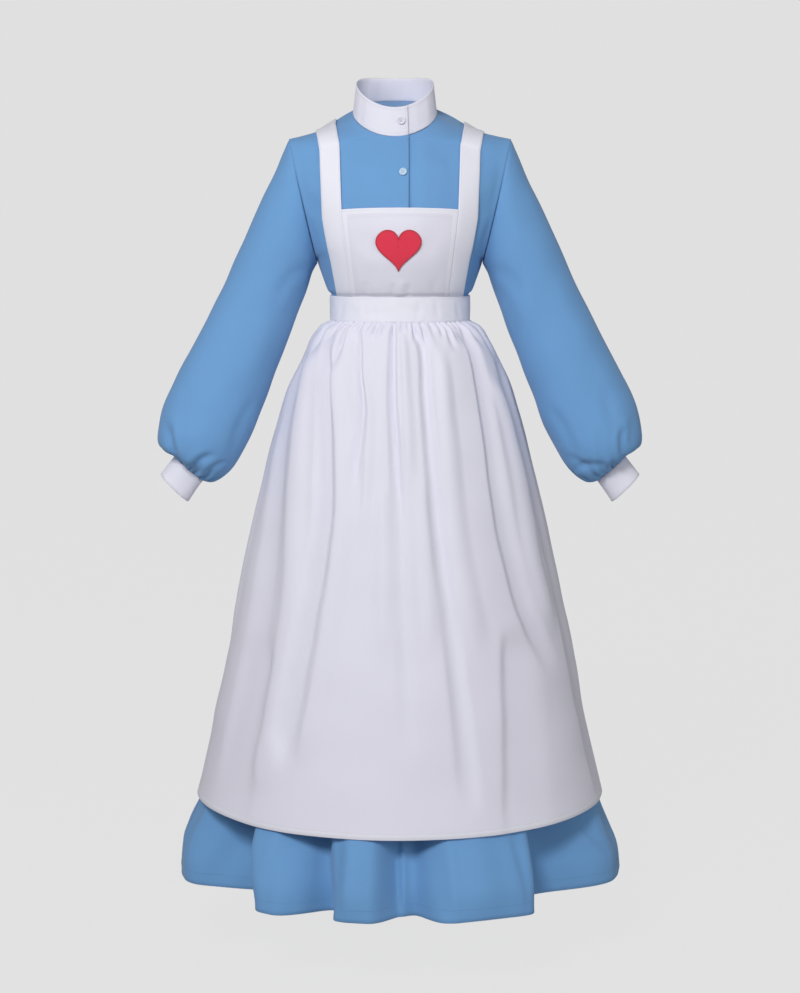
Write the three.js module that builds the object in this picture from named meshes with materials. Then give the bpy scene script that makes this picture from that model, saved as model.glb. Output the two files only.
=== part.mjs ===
// A long-sleeved nurse uniform dress with a gathered pinafore apron, filled out and hollow.
// Millimetres, +Z up, the front faces -Y. The origin is midway between the shoulder seams.
import * as THREE from "three";

// Cloth and seams
const CLOTH = 1.5;
const BAND = 2;
const SEAM_GAP = 0.3;
const LAYER_GAP = 1.2;
const LAP_DROP = 4.4;

// Heights of the main levels
const DRESS_WAIST = -314;
const BAND_TOP = -292.8;
const BAND_BOTTOM = -335.5;
const BIB_TOP = -141;
const APRON_HEM = -1184;
const DRESS_HEM = -1318;
// Both hems hang a little lower at the front and rise at the sides.
const FRONT_HEM_DROP = 6;
const APRON_FRONT_DROP = 5;
const HEM_RISE = 10;
const APRON_SHIFT_START = -930;

// Neck opening: an oval whose rim rises from front to back
const NECK_X = -8.7;
const NECK_HALF = 73;
const NECK_FRONT = 61;
const NECK_BACK = 61;
const NECK_SIDE_Z = 22;
const NECK_FRONT_Z = -19.5;
const NECK_BACK_Z = 45;

// Armhole: an oval in a plane that leans out towards the shoulder
const ARMHOLE_Z = -129;
const ARMHOLE_HALF_HEIGHT = 106.5;
const ARMHOLE_X = 167.4;
const ARMHOLE_LEAN = 0.229;
const ARMHOLE_FRONT = 55;
const ARMHOLE_BACK = 58;

// Front placket: how far each front passes the middle
const LAP_X = 15;
const PLACKET_EASE = 26;

// Bodice rows from the waist up: the middle line, then the side seam or armhole angle.
const FRONT_ROWS = [
  { y: -89, z: -314, side: 118.5, arc: 90 },
  { y: -90, z: -291.5, side: 119.2, arc: 90 },
  { y: -98, z: -283, side: 126, arc: 90 },
  { y: -108, z: -262, side: 134, arc: 90 },
  { y: -118, z: -230, armhole: 0, arc: 90 },
  { y: -121.5, z: -200, armhole: 28, arc: 84 },
  { y: -121, z: -168, armhole: 50, arc: 76 },
  { y: -115, z: -132, armhole: 72, arc: 66 },
  { y: -104, z: -95, armhole: 92, arc: 54 },
  { y: -88, z: -58, armhole: 110, arc: 42 },
  { y: -NECK_FRONT, z: NECK_FRONT_Z, armhole: 128, arc: 30, x: NECK_X },
];
const BACK_ROWS = [
  { y: 84, z: -314, side: 118.5, arc: 90 },
  { y: 85, z: -291.5, side: 119.2, arc: 90 },
  { y: 90, z: -283, side: 126, arc: 90 },
  { y: 96, z: -262, side: 134, arc: 90 },
  { y: 102, z: -228, armhole: 0, arc: 90 },
  { y: 106, z: -194, armhole: 28, arc: 84 },
  { y: 109, z: -152, armhole: 50, arc: 76 },
  { y: 109, z: -106, armhole: 72, arc: 66 },
  { y: 103, z: -56, armhole: 92, arc: 54 },
  { y: 88, z: -4, armhole: 110, arc: 42 },
  { y: NECK_BACK, z: NECK_BACK_Z, armhole: 128, arc: 30, x: NECK_X },
];
const SHOULDER_ARC = 14;
// A row falls towards its outer edge by this power of the share across it.
const ROW_FALL = 2;
const SHOULDER_FALL = 0.55;
const FALL_EASE = 0.6;
const YOKE_STEPS = 5;
const HALF_PANEL_STEPS = 8;

// Collar band
const COLLAR = {
  topHalf: 67.4, topFront: 55, topBack: 57, sideZ: 72, frontZ: 30, backZ: 83,
  underEnd: -5, overEnd: 378.5, steps: 44, lift: 1, lapDrop: 3,
};

// Sleeve rings: the outer line and the underarm line as seen from the front, then the depths.
const SLEEVE_RINGS = [
  { outX: 215, outZ: -76, inX: 149, inZ: -246, front: 62, back: 64 },
  { outX: 240, outZ: -127, inX: 156, inZ: -260, front: 64, back: 66 },
  { outX: 276, outZ: -205, inX: 169, inZ: -300, front: 64, back: 66 },
  { outX: 312, outZ: -283, inX: 190, inZ: -356, front: 66, back: 68 },
  { outX: 349, outZ: -356, inX: 213, inZ: -416, front: 70, back: 72 },
  { outX: 385, outZ: -423, inX: 236, inZ: -476, front: 75, back: 76 },
  { outX: 411, outZ: -478, inX: 256, inZ: -526, front: 79, back: 79 },
  { outX: 422, outZ: -522, inX: 276, inZ: -565, front: 78, back: 78 },
  { outX: 421, outZ: -552, inX: 298, inZ: -598, front: 66, back: 66 },
  { outX: 401, outZ: -565, inX: 325, inZ: -616, front: 44, back: 44 },
];
const SLEEVE_STEPS = 32;
const WRIST_FOLDS = 8;
const WRIST_FOLD_DEPTH = 3.2;

// Cuff: a lapped band from the wrist down
const CUFF = {
  topOut: [392, -574], topIn: [345, -615], endOut: [417, -606], endIn: [371, -652],
  half: 25, wristY: -20, lapStart: 150, lapTurn: 385, steps: 26, lapRise: 2.6,
};

// Apron outline: half widths seen from the front, and how deep its folds may go there.
const APRON_LEVELS = [
  { z: -336, half: 124, folds: 2.5 },
  { z: -345, half: 137, folds: 6 },
  { z: -354, half: 145, folds: 8 },
  { z: -388, half: 165.5, folds: 9 },
  { z: -423, half: 181.5, folds: 9 },
  { z: -493, half: 205, folds: 9 },
  { z: -564, half: 225, folds: 9 },
  { z: -741, half: 267, folds: 9 },
  { z: -849, half: 290, folds: 8 },
  { z: -993, half: 320, folds: 7 },
  { z: -1138, half: 350, folds: 4 },
  { z: -1184, half: 361.5, folds: 2.5 },
];
const APRON_WAIST_FRONT = 0.752;
const APRON_HEM_FRONT = 0.82;
const APRON_WAIST_BACK = 0.716;
const APRON_HEM_BACK = 0.8;
const APRON_EDGE = 151;
const GATHERS = 27;
const GATHER_DEPTH = 7;

// Long folds of the apron: degrees from the front, positive to the left of the wearer.
const APRON_FOLDS = [
  { top: -128, hem: -126, half: 9, depth: 7, from: -345, to: -1184 },
  { top: -104, hem: -100, half: 8, depth: 8, from: -345, to: -1100 },
  { top: -74, hem: -62, half: 9, depth: 9, from: -345, to: -1184 },
  { top: -42, hem: -32, half: 7, depth: 8, from: -350, to: -1120 },
  { top: -5, hem: -2, half: 4.5, depth: 9, from: -337, to: -640 },
  { top: 2, hem: 3, half: 7, depth: 4, from: -640, to: -1100 },
  { top: 13, hem: 22, half: 6, depth: 8, from: -337, to: -1184 },
  { top: 46, hem: 61, half: 7, depth: 9, from: -345, to: -960 },
  { top: 80, hem: 82, half: 9, depth: 8, from: -345, to: -1184 },
  { top: 108, hem: 106, half: 8, depth: 7, from: -345, to: -1050 },
  { top: 130, hem: 132, half: 8, depth: 8, from: -345, to: -1184 },
];
const APRON_FINE_LEVELS = [-336, -346, -362, -395, -455];
const APRON_PLAIN_LEVELS = [-455, -520, -600, -700, -810, -930, -1060, -1184];

// Dress skirt: outline half widths, then the troughs that open towards its hem.
const DRESS_LEVELS = [
  { z: -314, half: 118.5 },
  { z: -336, half: 117 },
  { z: -345, half: 124 },
  { z: -354, half: 131 },
  { z: -388, half: 151 },
  { z: -423, half: 167 },
  { z: -493, half: 191 },
  { z: -564, half: 211 },
  { z: -741, half: 253 },
  { z: -849, half: 277 },
  { z: -993, half: 308 },
  { z: -1138, half: 341.5 },
  { z: -1184, half: 354.5 },
  { z: -1239, half: 377 },
  { z: -1283, half: 391 },
  { z: -1318, half: 393.5 },
];
const DRESS_WAIST_FRONT = 0.751;
const DRESS_HEM_FRONT = 0.84;
const DRESS_WAIST_BACK = 0.709;
const DRESS_HEM_BACK = 0.792;
const TROUGHS_START = -560;
const DRESS_TROUGHS = [
  { at: -150, before: 18, after: 11, depth: 78 },
  { at: -112, before: 12, after: 18, depth: 62 },
  { at: -62.5, before: 20, after: 14, depth: 90, drift: 6.5 },
  { at: -28, before: 14, after: 6, depth: 66, drift: 3 },
  { at: 5, before: 15, after: 9, depth: 60 },
  { at: 54.5, before: 13, after: 24, depth: 86, drift: -3 },
  { at: 106, before: 13, after: 16, depth: 60 },
  { at: 141, before: 12, after: 15, depth: 74 },
  { at: 174, before: 16, after: 14, depth: 66 },
];
const DRESS_PLAIN_LEVELS = [-314, -336, -345, -356, -385, -440, -540, -680, -840];
const DRESS_FOLD_LEVELS = [-840, -970, -1090, -1200, -1260, -1318];
const DRESS_PLAIN_STEPS = 24;

// Straps and bib of the apron
const STRAP_FRONT = {
  waist: { x: 94, half: 12.5 }, bib: { x: 115, half: 16.5 }, shoulder: { x: 128, half: 17 },
};
const STRAP_BACK_WAIST = { x: 82, half: 14.5 };
const BIB_STEPS = 10;
const BIB_GAP = 0.4;
const BIB_LIFT_AT_SIDES = 0.14;
const RIDGE_LIFT = 0.8;
const LEVEL_BELOW_ROW = 1.5;

// Apron waistband
const BAND_LAP = 18;
const BAND_STEPS = 44;

// Small pieces
const BUTTON = { radius: 6.5, thick: 2.6, rim: 1.3, sides: 16 };
const HEART = { x: -2.5, z: -206, half: 38, steps: 28 };

// Colours as hexadecimal numbers
const BLUE = 0x6f9fcd;
const WHITE = 0xe4e3ee;
const RED = 0xe23a4e;
const BUTTON_BLUE = 0xc9dff2;

const radians = THREE.MathUtils.degToRad;
const lerp = THREE.MathUtils.lerp;
const smoothstep = THREE.MathUtils.smoothstep;

// Value of a named column at a height, on a smooth curve through the rows of a table
function columnAt(table, column, z) {
  let i = 0;
  while (i < table.length - 2 && z < table[i + 1].z) {
    i += 1;
  }
  const low = table[i];
  const high = table[i + 1];
  const t = THREE.MathUtils.clamp((z - low.z) / (high.z - low.z), 0, 1);
  const span = high.z - low.z;
  const inner = (high[column] - low[column]) / span;
  const before = i > 0 ? (low[column] - table[i - 1][column]) / (low.z - table[i - 1].z) : inner;
  const next = table[i + 2];
  const after = next ? (next[column] - high[column]) / (next.z - high.z) : inner;
  const startSlope = harmonicMean(before, inner) * span;
  const endSlope = harmonicMean(inner, after) * span;
  const t2 = t * t;
  const t3 = t2 * t;
  return (2 * t3 - 3 * t2 + 1) * low[column] + (t3 - 2 * t2 + t) * startSlope
    + (3 * t2 - 2 * t3) * high[column] + (t3 - t2) * endSlope;
}

// Slope that keeps the curve from overshooting its rows
function harmonicMean(a, b) {
  return a * b > 0 ? (2 * a * b) / (a + b) : 0;
}

// Soft trough: 1 at the middle and 0 at the given distances on its two sides
function trough(offset, before, after) {
  const reach = offset < 0 ? before : after;
  const t = Math.abs(offset) / reach;
  return t < 1 ? 0.5 + 0.5 * Math.cos(Math.PI * t) : 0;
}

// A cloth surface: points joined into triangles, with equal points shared
class Surface {
  constructor() {
    this.points = [];
    this.faces = [];
    this.known = new Map();
    this.behind = new Map();
  }

  point(p) {
    const key = [p.x, p.y, p.z].map((c) => Math.round(c * 1000)).join(" ");
    if (!this.known.has(key)) {
      this.known.set(key, this.points.length);
      this.points.push(p.clone());
    }
    return this.known.get(key);
  }

  triangle(a, b, c) {
    if (a !== b && b !== c && c !== a) {
      this.faces.push([a, b, c]);
    }
  }

  // Joins two rows; the second has as many steps as the first, or twice as many.
  strip(first, second) {
    const a = first.map((p) => this.point(p));
    const b = second.map((p) => this.point(p));
    const twice = second.length === 2 * first.length - 1;
    for (let i = 0; i < first.length - 1; i += 1) {
      if (twice) {
        this.triangle(a[i], a[i + 1], b[2 * i + 1]);
        this.triangle(a[i], b[2 * i + 1], b[2 * i]);
        this.triangle(a[i + 1], b[2 * i + 2], b[2 * i + 1]);
      } else {
        this.triangle(a[i], a[i + 1], b[i + 1]);
        this.triangle(a[i], b[i + 1], b[i]);
      }
    }
  }

  grid(rows) {
    for (let i = 0; i < rows.length - 1; i += 1) {
      this.strip(rows[i], rows[i + 1]);
    }
  }

  // Grid whose inner face is given too, point for point
  gridBetween(rows, innerRows) {
    this.grid(rows);
    rows.forEach((row, i) => row.forEach((p, j) => this.behind.set(this.point(p), innerRows[i][j])));
  }

  normals() {
    const sums = this.points.map(() => new THREE.Vector3());
    const ab = new THREE.Vector3();
    const ac = new THREE.Vector3();
    for (const [a, b, c] of this.faces) {
      ab.subVectors(this.points[b], this.points[a]);
      ac.subVectors(this.points[c], this.points[a]);
      ab.cross(ac);
      sums[a].add(ab);
      sums[b].add(ab);
      sums[c].add(ab);
    }
    return sums.map((n) => n.normalize());
  }

  // Turns every face so that the surface looks away from the given inner place.
  faceAwayFrom(innerPlace) {
    const normals = this.normals();
    let agreement = 0;
    this.points.forEach((p, i) => {
      agreement += normals[i].dot(p.clone().sub(innerPlace(p)));
    });
    if (agreement < 0) {
      this.faces = this.faces.map(([a, b, c]) => [a, c, b]);
    }
  }

  // Closed wall behind the surface. settle turns a normal that lies at a seam into its plane.
  wall(thickness, settle = (p, n) => n) {
    const normals = this.normals();
    const count = this.points.length;
    const inner = this.points.map((p, i) => {
      if (this.behind.has(i)) {
        return this.behind.get(i);
      }
      const n = settle(p, normals[i].clone()).normalize();
      return p.clone().addScaledVector(n, -thickness);
    });
    const faces = [...this.faces];
    this.faces.forEach(([a, b, c]) => faces.push([a + count, c + count, b + count]));
    for (const [a, b] of this.openEdges()) {
      faces.push([b, a, a + count], [b, a + count, b + count]);
    }
    const geometry = new THREE.BufferGeometry();
    const flat = [...this.points, ...inner].flatMap((p) => [p.x, p.y, p.z]);
    geometry.setAttribute("position", new THREE.Float32BufferAttribute(flat, 3));
    geometry.setIndex(faces.flat());
    geometry.computeVertexNormals();
    return geometry;
  }

  openEdges() {
    const edges = new Map();
    for (const [a, b, c] of this.faces) {
      for (const [from, to] of [[a, b], [b, c], [c, a]]) {
        edges.set(`${from} ${to}`, [from, to]);
      }
    }
    return [...edges.values()].filter(([from, to]) => !edges.has(`${to} ${from}`));
  }
}

const onAxis = (p) => new THREE.Vector3(0, 0, p.z);

// Height of the neck edge at a depth
function neckHeight(y) {
  const t = y / NECK_FRONT;
  const middle = (NECK_BACK_Z + NECK_FRONT_Z) / 2;
  const rise = (NECK_BACK_Z - NECK_FRONT_Z) / 2;
  return middle + rise * t + (NECK_SIDE_Z - middle) * (1 - t * t);
}

// Neck edge at an angle from the front middle, positive towards +X
function neckPoint(degrees) {
  const a = radians(degrees);
  const y = -NECK_FRONT * Math.cos(a);
  return new THREE.Vector3(NECK_X + NECK_HALF * Math.sin(a), y, neckHeight(y));
}

// Point of the armhole oval: 0 at the underarm, 180 at the shoulder tip
function armholePoint(degrees, side, back) {
  const a = radians(degrees);
  const z = ARMHOLE_Z - ARMHOLE_HALF_HEIGHT * Math.cos(a);
  const depth = back ? ARMHOLE_BACK : -ARMHOLE_FRONT;
  const x = side * (ARMHOLE_X + ARMHOLE_LEAN * (z - ARMHOLE_Z));
  const seam = (back ? SEAM_GAP : -SEAM_GAP) / 2;
  return new THREE.Vector3(x, depth * Math.sin(a) + seam, z);
}

function armholeNormal(side) {
  return new THREE.Vector3(side, 0, -ARMHOLE_LEAN).normalize();
}

// One half of the front or back bodice, as rows from its middle line to its outer edge
class BodiceHalf {
  constructor(side, back) {
    this.side = side;
    this.back = back;
    this.table = back ? BACK_ROWS : FRONT_ROWS;
    this.rows = this.table.map((row) => this.tableRow(row));
    for (let i = 1; i <= YOKE_STEPS; i += 1) {
      this.rows.push(this.yokeRow(i / YOKE_STEPS));
    }
    this.neckRow = this.table.length - 1;
    this.last = this.rows.length - 1;
  }

  tableRow(row) {
    const seam = (this.back ? SEAM_GAP : -SEAM_GAP) / 2;
    const waist = row.z === DRESS_WAIST ? SEAM_GAP / 2 : 0;
    const edge = row.side
      ? new THREE.Vector3(this.side * row.side, seam, row.z + waist)
      : armholePoint(row.armhole, this.side, this.back);
    const middle = new THREE.Vector3(row.x ?? 0, row.y, row.z + waist);
    return { middle, edge, arc: row.arc, fall: ROW_FALL };
  }

  // Rows above the middle of the neck start on the neck edge and end at the armhole.
  yokeRow(t) {
    const start = this.table[this.table.length - 1];
    const neckAngle = this.back ? 180 - 90 * t : 90 * t;
    const middle = neckPoint(this.side * neckAngle);
    middle.y += t === 1 ? (this.back ? SEAM_GAP : -SEAM_GAP) / 2 : 0;
    const edge = armholePoint(lerp(start.armhole, 180, t), this.side, this.back);
    const fall = lerp(ROW_FALL, SHOULDER_FALL, t ** FALL_EASE);
    return { middle, edge, arc: lerp(start.arc, SHOULDER_ARC, t), fall };
  }

  // Row between two rows, for pieces that lie on the bodice
  row(v) {
    const i = Math.min(Math.floor(v), this.last - 1);
    const t = v - i;
    const [low, high] = [this.rows[i], this.rows[i + 1]];
    return {
      middle: low.middle.clone().lerp(high.middle, t),
      edge: low.edge.clone().lerp(high.edge, t),
      arc: lerp(low.arc, high.arc, t),
      fall: lerp(low.fall, high.fall, t),
    };
  }

  // Point of a row: 0 at its middle line, 1 at its outer edge, below 0 past the middle
  at(row, u) {
    const arc = radians(row.arc);
    const across = Math.sin(u * arc) / Math.sin(arc);
    const round = (1 - Math.cos(u * arc)) / (1 - Math.cos(arc));
    return new THREE.Vector3(
      lerp(row.middle.x, row.edge.x, across),
      lerp(row.middle.y, row.edge.y, round),
      lerp(row.middle.z, row.edge.z, Math.abs(u) ** row.fall),
    );
  }

  // Where a row reaches a distance from the middle plane
  shareAt(row, x) {
    const arc = radians(row.arc);
    const across = (x - row.middle.x) / (row.edge.x - row.middle.x);
    return Math.asin(THREE.MathUtils.clamp(across * Math.sin(arc), -1, 1)) / arc;
  }

  pointAt(x, v) {
    const row = this.row(v);
    return this.at(row, this.shareAt(row, x));
  }

  normalAt(x, v) {
    const step = 0.05;
    const along = this.pointAt(x, Math.min(v + step, this.last)).sub(this.pointAt(x, v - step));
    const across = this.pointAt(x + 1, v).sub(this.pointAt(x - 1, v));
    const n = across.cross(along).normalize();
    return this.back ? n.negate() : n;
  }

  // Row number whose middle line is at a height
  rowAtHeight(z) {
    const i = this.rows.findIndex((row, n) => n > 0 && row.middle.z >= z);
    const low = this.rows[i - 1].middle.z;
    return i - 1 + (z - low) / (this.rows[i].middle.z - low);
  }

  mainRows() {
    return this.rows.map((row) => {
      const points = [];
      for (let j = 0; j <= HALF_PANEL_STEPS; j += 1) {
        points.push(this.at(row, j / HALF_PANEL_STEPS));
      }
      return points;
    });
  }

  // Placket strip past the middle line, cut at the neck edge
  lapRows() {
    const lapX = -this.side * LAP_X;
    const steps = 3;
    return this.rows.slice(0, this.neckRow + 1).map((row, i) => {
      const points = [];
      for (let j = steps; j >= 0; j -= 1) {
        const x = lerp(row.middle.x, lapX, j / steps);
        const onNeck = neckPoint(THREE.MathUtils.radToDeg(Math.asin((x - NECK_X) / NECK_HALF)));
        points.push(i === this.neckRow ? onNeck : this.at(row, this.shareAt(row, x)));
      }
      return points;
    });
  }
}

// Turns a normal into the plane of the seam that its point lies on
function settleBodice(p, n) {
  for (const side of [1, -1]) {
    const plane = armholeNormal(side);
    const tip = armholePoint(90, side, false);
    if (Math.abs(p.clone().sub(tip).dot(plane)) < 0.2) {
      n.projectOnPlane(plane);
    }
  }
  if (Math.abs(p.y) < SEAM_GAP) {
    n.y = 0;
  }
  if (Math.abs(p.z - DRESS_WAIST) < SEAM_GAP) {
    n.z = 0;
  }
  return n;
}

// Moves the hidden front back behind the placket
function dropBehindPlacket(p, side) {
  const past = side * p.x;
  const amount = 1 - smoothstep(past, LAP_X + 3, LAP_X + 3 + PLACKET_EASE);
  p.y += LAP_DROP * amount;
  return p;
}

function frontPanel(side, onTop) {
  const half = new BodiceHalf(side, false);
  const place = (p) => (onTop ? p : dropBehindPlacket(p.clone(), side));
  const surface = new Surface();
  surface.grid(half.lapRows().map((row) => row.map(place)));
  surface.grid(half.mainRows().map((row) => row.map(place)));
  surface.faceAwayFrom(onAxis);
  return surface.wall(CLOTH, settleBodice);
}

function backPanel() {
  const surface = new Surface();
  surface.grid(new BodiceHalf(1, true).mainRows());
  const left = new BodiceHalf(-1, true).mainRows();
  surface.grid(left.map((row) => [...row].reverse()));
  surface.faceAwayFrom(onAxis);
  return surface.wall(CLOTH, settleBodice);
}

// Collar band: one strip round the neck whose front end lies over its other end
function collar() {
  const rows = [0, 0.5, 1].map((share) => {
    const points = [];
    for (let i = 0; i <= COLLAR.steps; i += 1) {
      points.push(collarPoint(lerp(COLLAR.underEnd, COLLAR.overEnd, i / COLLAR.steps), share));
    }
    return points;
  });
  const surface = new Surface();
  surface.grid(rows);
  surface.faceAwayFrom((p) => new THREE.Vector3(NECK_X, 0, p.z));
  return surface.wall(BAND, (p, n) => {
    n.z = 0;
    return n;
  });
}

function collarPoint(degrees, share) {
  const a = radians(degrees);
  const base = neckPoint(degrees);
  base.z += COLLAR.lift;
  const sideways = Math.cos(a);
  const topY = -sideways * (sideways > 0 ? COLLAR.topFront : COLLAR.topBack);
  const t = -sideways;
  const middle = (COLLAR.frontZ + COLLAR.backZ) / 2;
  const topZ = middle + ((COLLAR.backZ - COLLAR.frontZ) / 2) * t
    + (COLLAR.sideZ - middle) * (1 - t * t);
  const top = new THREE.Vector3(NECK_X + COLLAR.topHalf * Math.sin(a), topY, topZ);
  const p = base.lerp(top, share);
  const drop = COLLAR.lapDrop * (1 - smoothstep(degrees, 24, 60));
  p.x -= drop * Math.sin(a);
  p.y += drop * Math.cos(a);
  return p;
}

// Ring of a sleeve or cuff between an outer and an inner point seen from the front
function armRing(side, outer, inner, front, back, middleY, steps, radius = () => 1) {
  const points = [];
  for (let i = 0; i <= steps; i += 1) {
    const a = (i / steps) * 2 * Math.PI;
    const depth = Math.sin(a) > 0 ? front : back;
    const scale = radius(a);
    const share = 0.5 - 0.5 * Math.cos(a) * scale;
    points.push(new THREE.Vector3(
      side * lerp(inner[0], outer[0], share),
      middleY - depth * Math.sin(a) * scale,
      lerp(inner[1], outer[1], share),
    ));
  }
  points[steps].copy(points[0]);
  return points;
}

function cuffAxis(side) {
  const [dx, dz] = [CUFF.topOut[0] - CUFF.topIn[0], CUFF.topOut[1] - CUFF.topIn[1]];
  return new THREE.Vector3(-side * dz, 0, dx).normalize().negate();
}

function sleeve(side) {
  const surface = new Surface();
  const plane = armholeNormal(side);
  const armhole = [];
  for (let i = 0; i <= SLEEVE_STEPS; i += 1) {
    const degrees = (i / SLEEVE_STEPS) * 360;
    const p = armholePoint(degrees <= 180 ? degrees : 360 - degrees, side, degrees > 180);
    armhole.push(p.addScaledVector(plane, SEAM_GAP + 0.1));
  }
  armhole[SLEEVE_STEPS].copy(armhole[0]);
  const rings = [armhole];
  SLEEVE_RINGS.forEach((ring, i) => {
    const share = (i + 1) / SLEEVE_RINGS.length;
    const gather = 0.035 * smoothstep(share, 0.6, 1);
    const middleY = CUFF.wristY * smoothstep(share, 0.3, 1);
    rings.push(armRing(side, [ring.outX, ring.outZ], [ring.inX, ring.inZ], ring.front, ring.back,
      middleY, SLEEVE_STEPS, (a) => 1 - gather * (1 + Math.cos(WRIST_FOLDS * a))));
  });
  rings.push(wristRing(side));
  surface.grid(rings);
  const axis = cuffAxis(side);
  const wrist = rings[rings.length - 1][0];
  surface.faceAwayFrom((p) => armMiddle(p, side));
  return surface.wall(CLOTH, (p, n) => {
    if (Math.abs(p.clone().sub(armhole[0]).dot(plane)) < 0.2) {
      n.projectOnPlane(plane);
    } else if (Math.abs(p.clone().sub(wrist).dot(axis)) < 0.2) {
      n.projectOnPlane(axis);
    }
    return n;
  });
}

// Gathered end of the sleeve, just above the cuff
function wristRing(side) {
  const axis = cuffAxis(side);
  const fold = WRIST_FOLD_DEPTH / CUFF.half / 2;
  const ring = armRing(side, CUFF.topOut, CUFF.topIn, CUFF.half, CUFF.half, CUFF.wristY,
    SLEEVE_STEPS, (a) => 1.04 - fold * (1 + Math.cos(WRIST_FOLDS * a)));
  ring.forEach((p) => p.addScaledVector(axis, -SEAM_GAP - 0.1));
  ring[SLEEVE_STEPS].copy(ring[0]);
  return ring;
}

// Middle of the arm at the height of a point
function armMiddle(p, side) {
  const rings = [...SLEEVE_RINGS].map((r) => ({ z: (r.outZ + r.inZ) / 2, x: (r.outX + r.inX) / 2 }));
  const near = rings.reduce((a, b) => (Math.abs(b.z - p.z) < Math.abs(a.z - p.z) ? b : a));
  return new THREE.Vector3(side * near.x, 0, near.z);
}

// Cuff: a strip round the wrist whose end laps over its start
function cuff(side) {
  const lapStart = CUFF.lapStart;
  const rowAt = (share) => {
    const points = [];
    for (let i = 0; i <= CUFF.steps; i += 1) {
      const degrees = lapStart + (CUFF.lapTurn * i) / CUFF.steps;
      const a = radians(degrees);
      const outer = CUFF.topOut.map((c, k) => lerp(c, CUFF.endOut[k], share));
      const inner = CUFF.topIn.map((c, k) => lerp(c, CUFF.endIn[k], share));
      const rise = 1 + (CUFF.lapRise / CUFF.half) * smoothstep(i / CUFF.steps, 0.72, 0.9);
      const t = 0.5 - 0.5 * Math.cos(a) * rise;
      points.push(new THREE.Vector3(
        side * lerp(inner[0], outer[0], t),
        CUFF.wristY - CUFF.half * Math.sin(a) * rise,
        lerp(inner[1], outer[1], t),
      ));
    }
    return points;
  };
  const surface = new Surface();
  surface.grid([0, 0.5, 1].map(rowAt));
  const middleX = side * (CUFF.topOut[0] + CUFF.endIn[0]) / 2;
  const middleZ = (CUFF.topOut[1] + CUFF.endIn[1]) / 2;
  surface.faceAwayFrom(() => new THREE.Vector3(middleX, CUFF.wristY, middleZ));
  const axis = cuffAxis(side);
  return surface.wall(BAND - 0.4, (p, n) => n.projectOnPlane(axis));
}

// Radius of an oval at an angle from the front
function ovalRadius(degrees, half, front, back) {
  const a = radians(degrees);
  const depth = Math.cos(a) > 0 ? front : back;
  return 1 / Math.hypot(Math.sin(a) / half, Math.cos(a) / depth);
}

// Point round the vertical axis, with angle 0 at the front and positive towards +X
function roundPoint(degrees, radius, z) {
  const a = radians(degrees);
  return new THREE.Vector3(radius * Math.sin(a), -radius * Math.cos(a), z);
}

function apronOutline(degrees, z) {
  const half = columnAt(APRON_LEVELS, "half", z);
  const t = THREE.MathUtils.clamp((z - BAND_BOTTOM) / (APRON_HEM - BAND_BOTTOM), 0, 1);
  return ovalRadius(degrees, half, half * lerp(APRON_WAIST_FRONT, APRON_HEM_FRONT, t),
    half * lerp(APRON_WAIST_BACK, APRON_HEM_BACK, t));
}

// Small gathers below the waistband, uneven in place, width, depth and length
function gatherDepth(degrees, z) {
  let depth = 0;
  for (let k = 0; k < GATHERS; k += 1) {
    const uneven = Math.sin(k * 2.4) + 0.6 * Math.sin(k * 5.1 + 1);
    const at = -APRON_EDGE + ((k + 0.5) * 2 * APRON_EDGE) / GATHERS + 1.2 * uneven;
    const length = 95 + 38 * uneven;
    const fade = 1 - smoothstep(APRON_FINE_LEVELS[0] - z, 0.35 * length, 1.3 * length);
    const half = 4.6 + 0.7 * Math.cos(k * 1.7);
    depth += GATHER_DEPTH * (0.8 + 0.2 * Math.sin(k * 3.3)) * fade
      * trough(degrees - at, half, half);
  }
  return depth;
}

// Long folds of the apron at a place
function longFoldDepth(degrees, z) {
  return APRON_FOLDS.reduce((depth, fold) => {
    const t = THREE.MathUtils.clamp((z - APRON_LEVELS[0].z) / (APRON_HEM - APRON_LEVELS[0].z), 0, 1);
    const at = lerp(fold.top, fold.hem, t);
    const length = fold.from - fold.to;
    const down = (fold.from - z) / length;
    const fade = smoothstep(down, -0.02, 0.12) * (1 - smoothstep(down, 0.72, 1.05));
    return depth + fold.depth * fade * trough(degrees - at, fold.half, fold.half);
  }, 0);
}

function hemShift(degrees, frontDrop) {
  const a = radians(degrees);
  return HEM_RISE * Math.sin(a) ** 6 - frontDrop * Math.max(0, Math.cos(a));
}

function apronPoint(degrees, z) {
  const wanted = gatherDepth(degrees, z) + longFoldDepth(degrees, z);
  const allowed = columnAt(APRON_LEVELS, "folds", z);
  const depth = allowed * Math.tanh(wanted / allowed);
  const p = roundPoint(degrees, apronOutline(degrees, z) - depth, z);
  const low = smoothstep(APRON_SHIFT_START - z, 0, APRON_SHIFT_START - APRON_HEM);
  p.z += hemShift(degrees, APRON_FRONT_DROP) * low;
  return p;
}

function apronSkirt() {
  const steps = 2 * GATHERS;
  const rowOf = (z, count) => {
    const points = [];
    for (let i = 0; i <= count; i += 1) {
      points.push(apronPoint(lerp(-APRON_EDGE, APRON_EDGE, i / count), z));
    }
    return points;
  };
  const surface = new Surface();
  const fine = APRON_FINE_LEVELS.slice(0, -1).map((z) => rowOf(z, 2 * steps));
  const plain = APRON_PLAIN_LEVELS.map((z) => rowOf(z, steps));
  surface.grid([...fine].reverse());
  surface.strip(plain[0], fine[fine.length - 1]);
  surface.grid([...plain].reverse());
  surface.faceAwayFrom(onAxis);
  return surface.wall(CLOTH, (p, n) => {
    if (p.z === APRON_FINE_LEVELS[0] || p.z <= APRON_HEM + HEM_RISE) {
      n.z = 0;
    }
    return n;
  });
}

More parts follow.
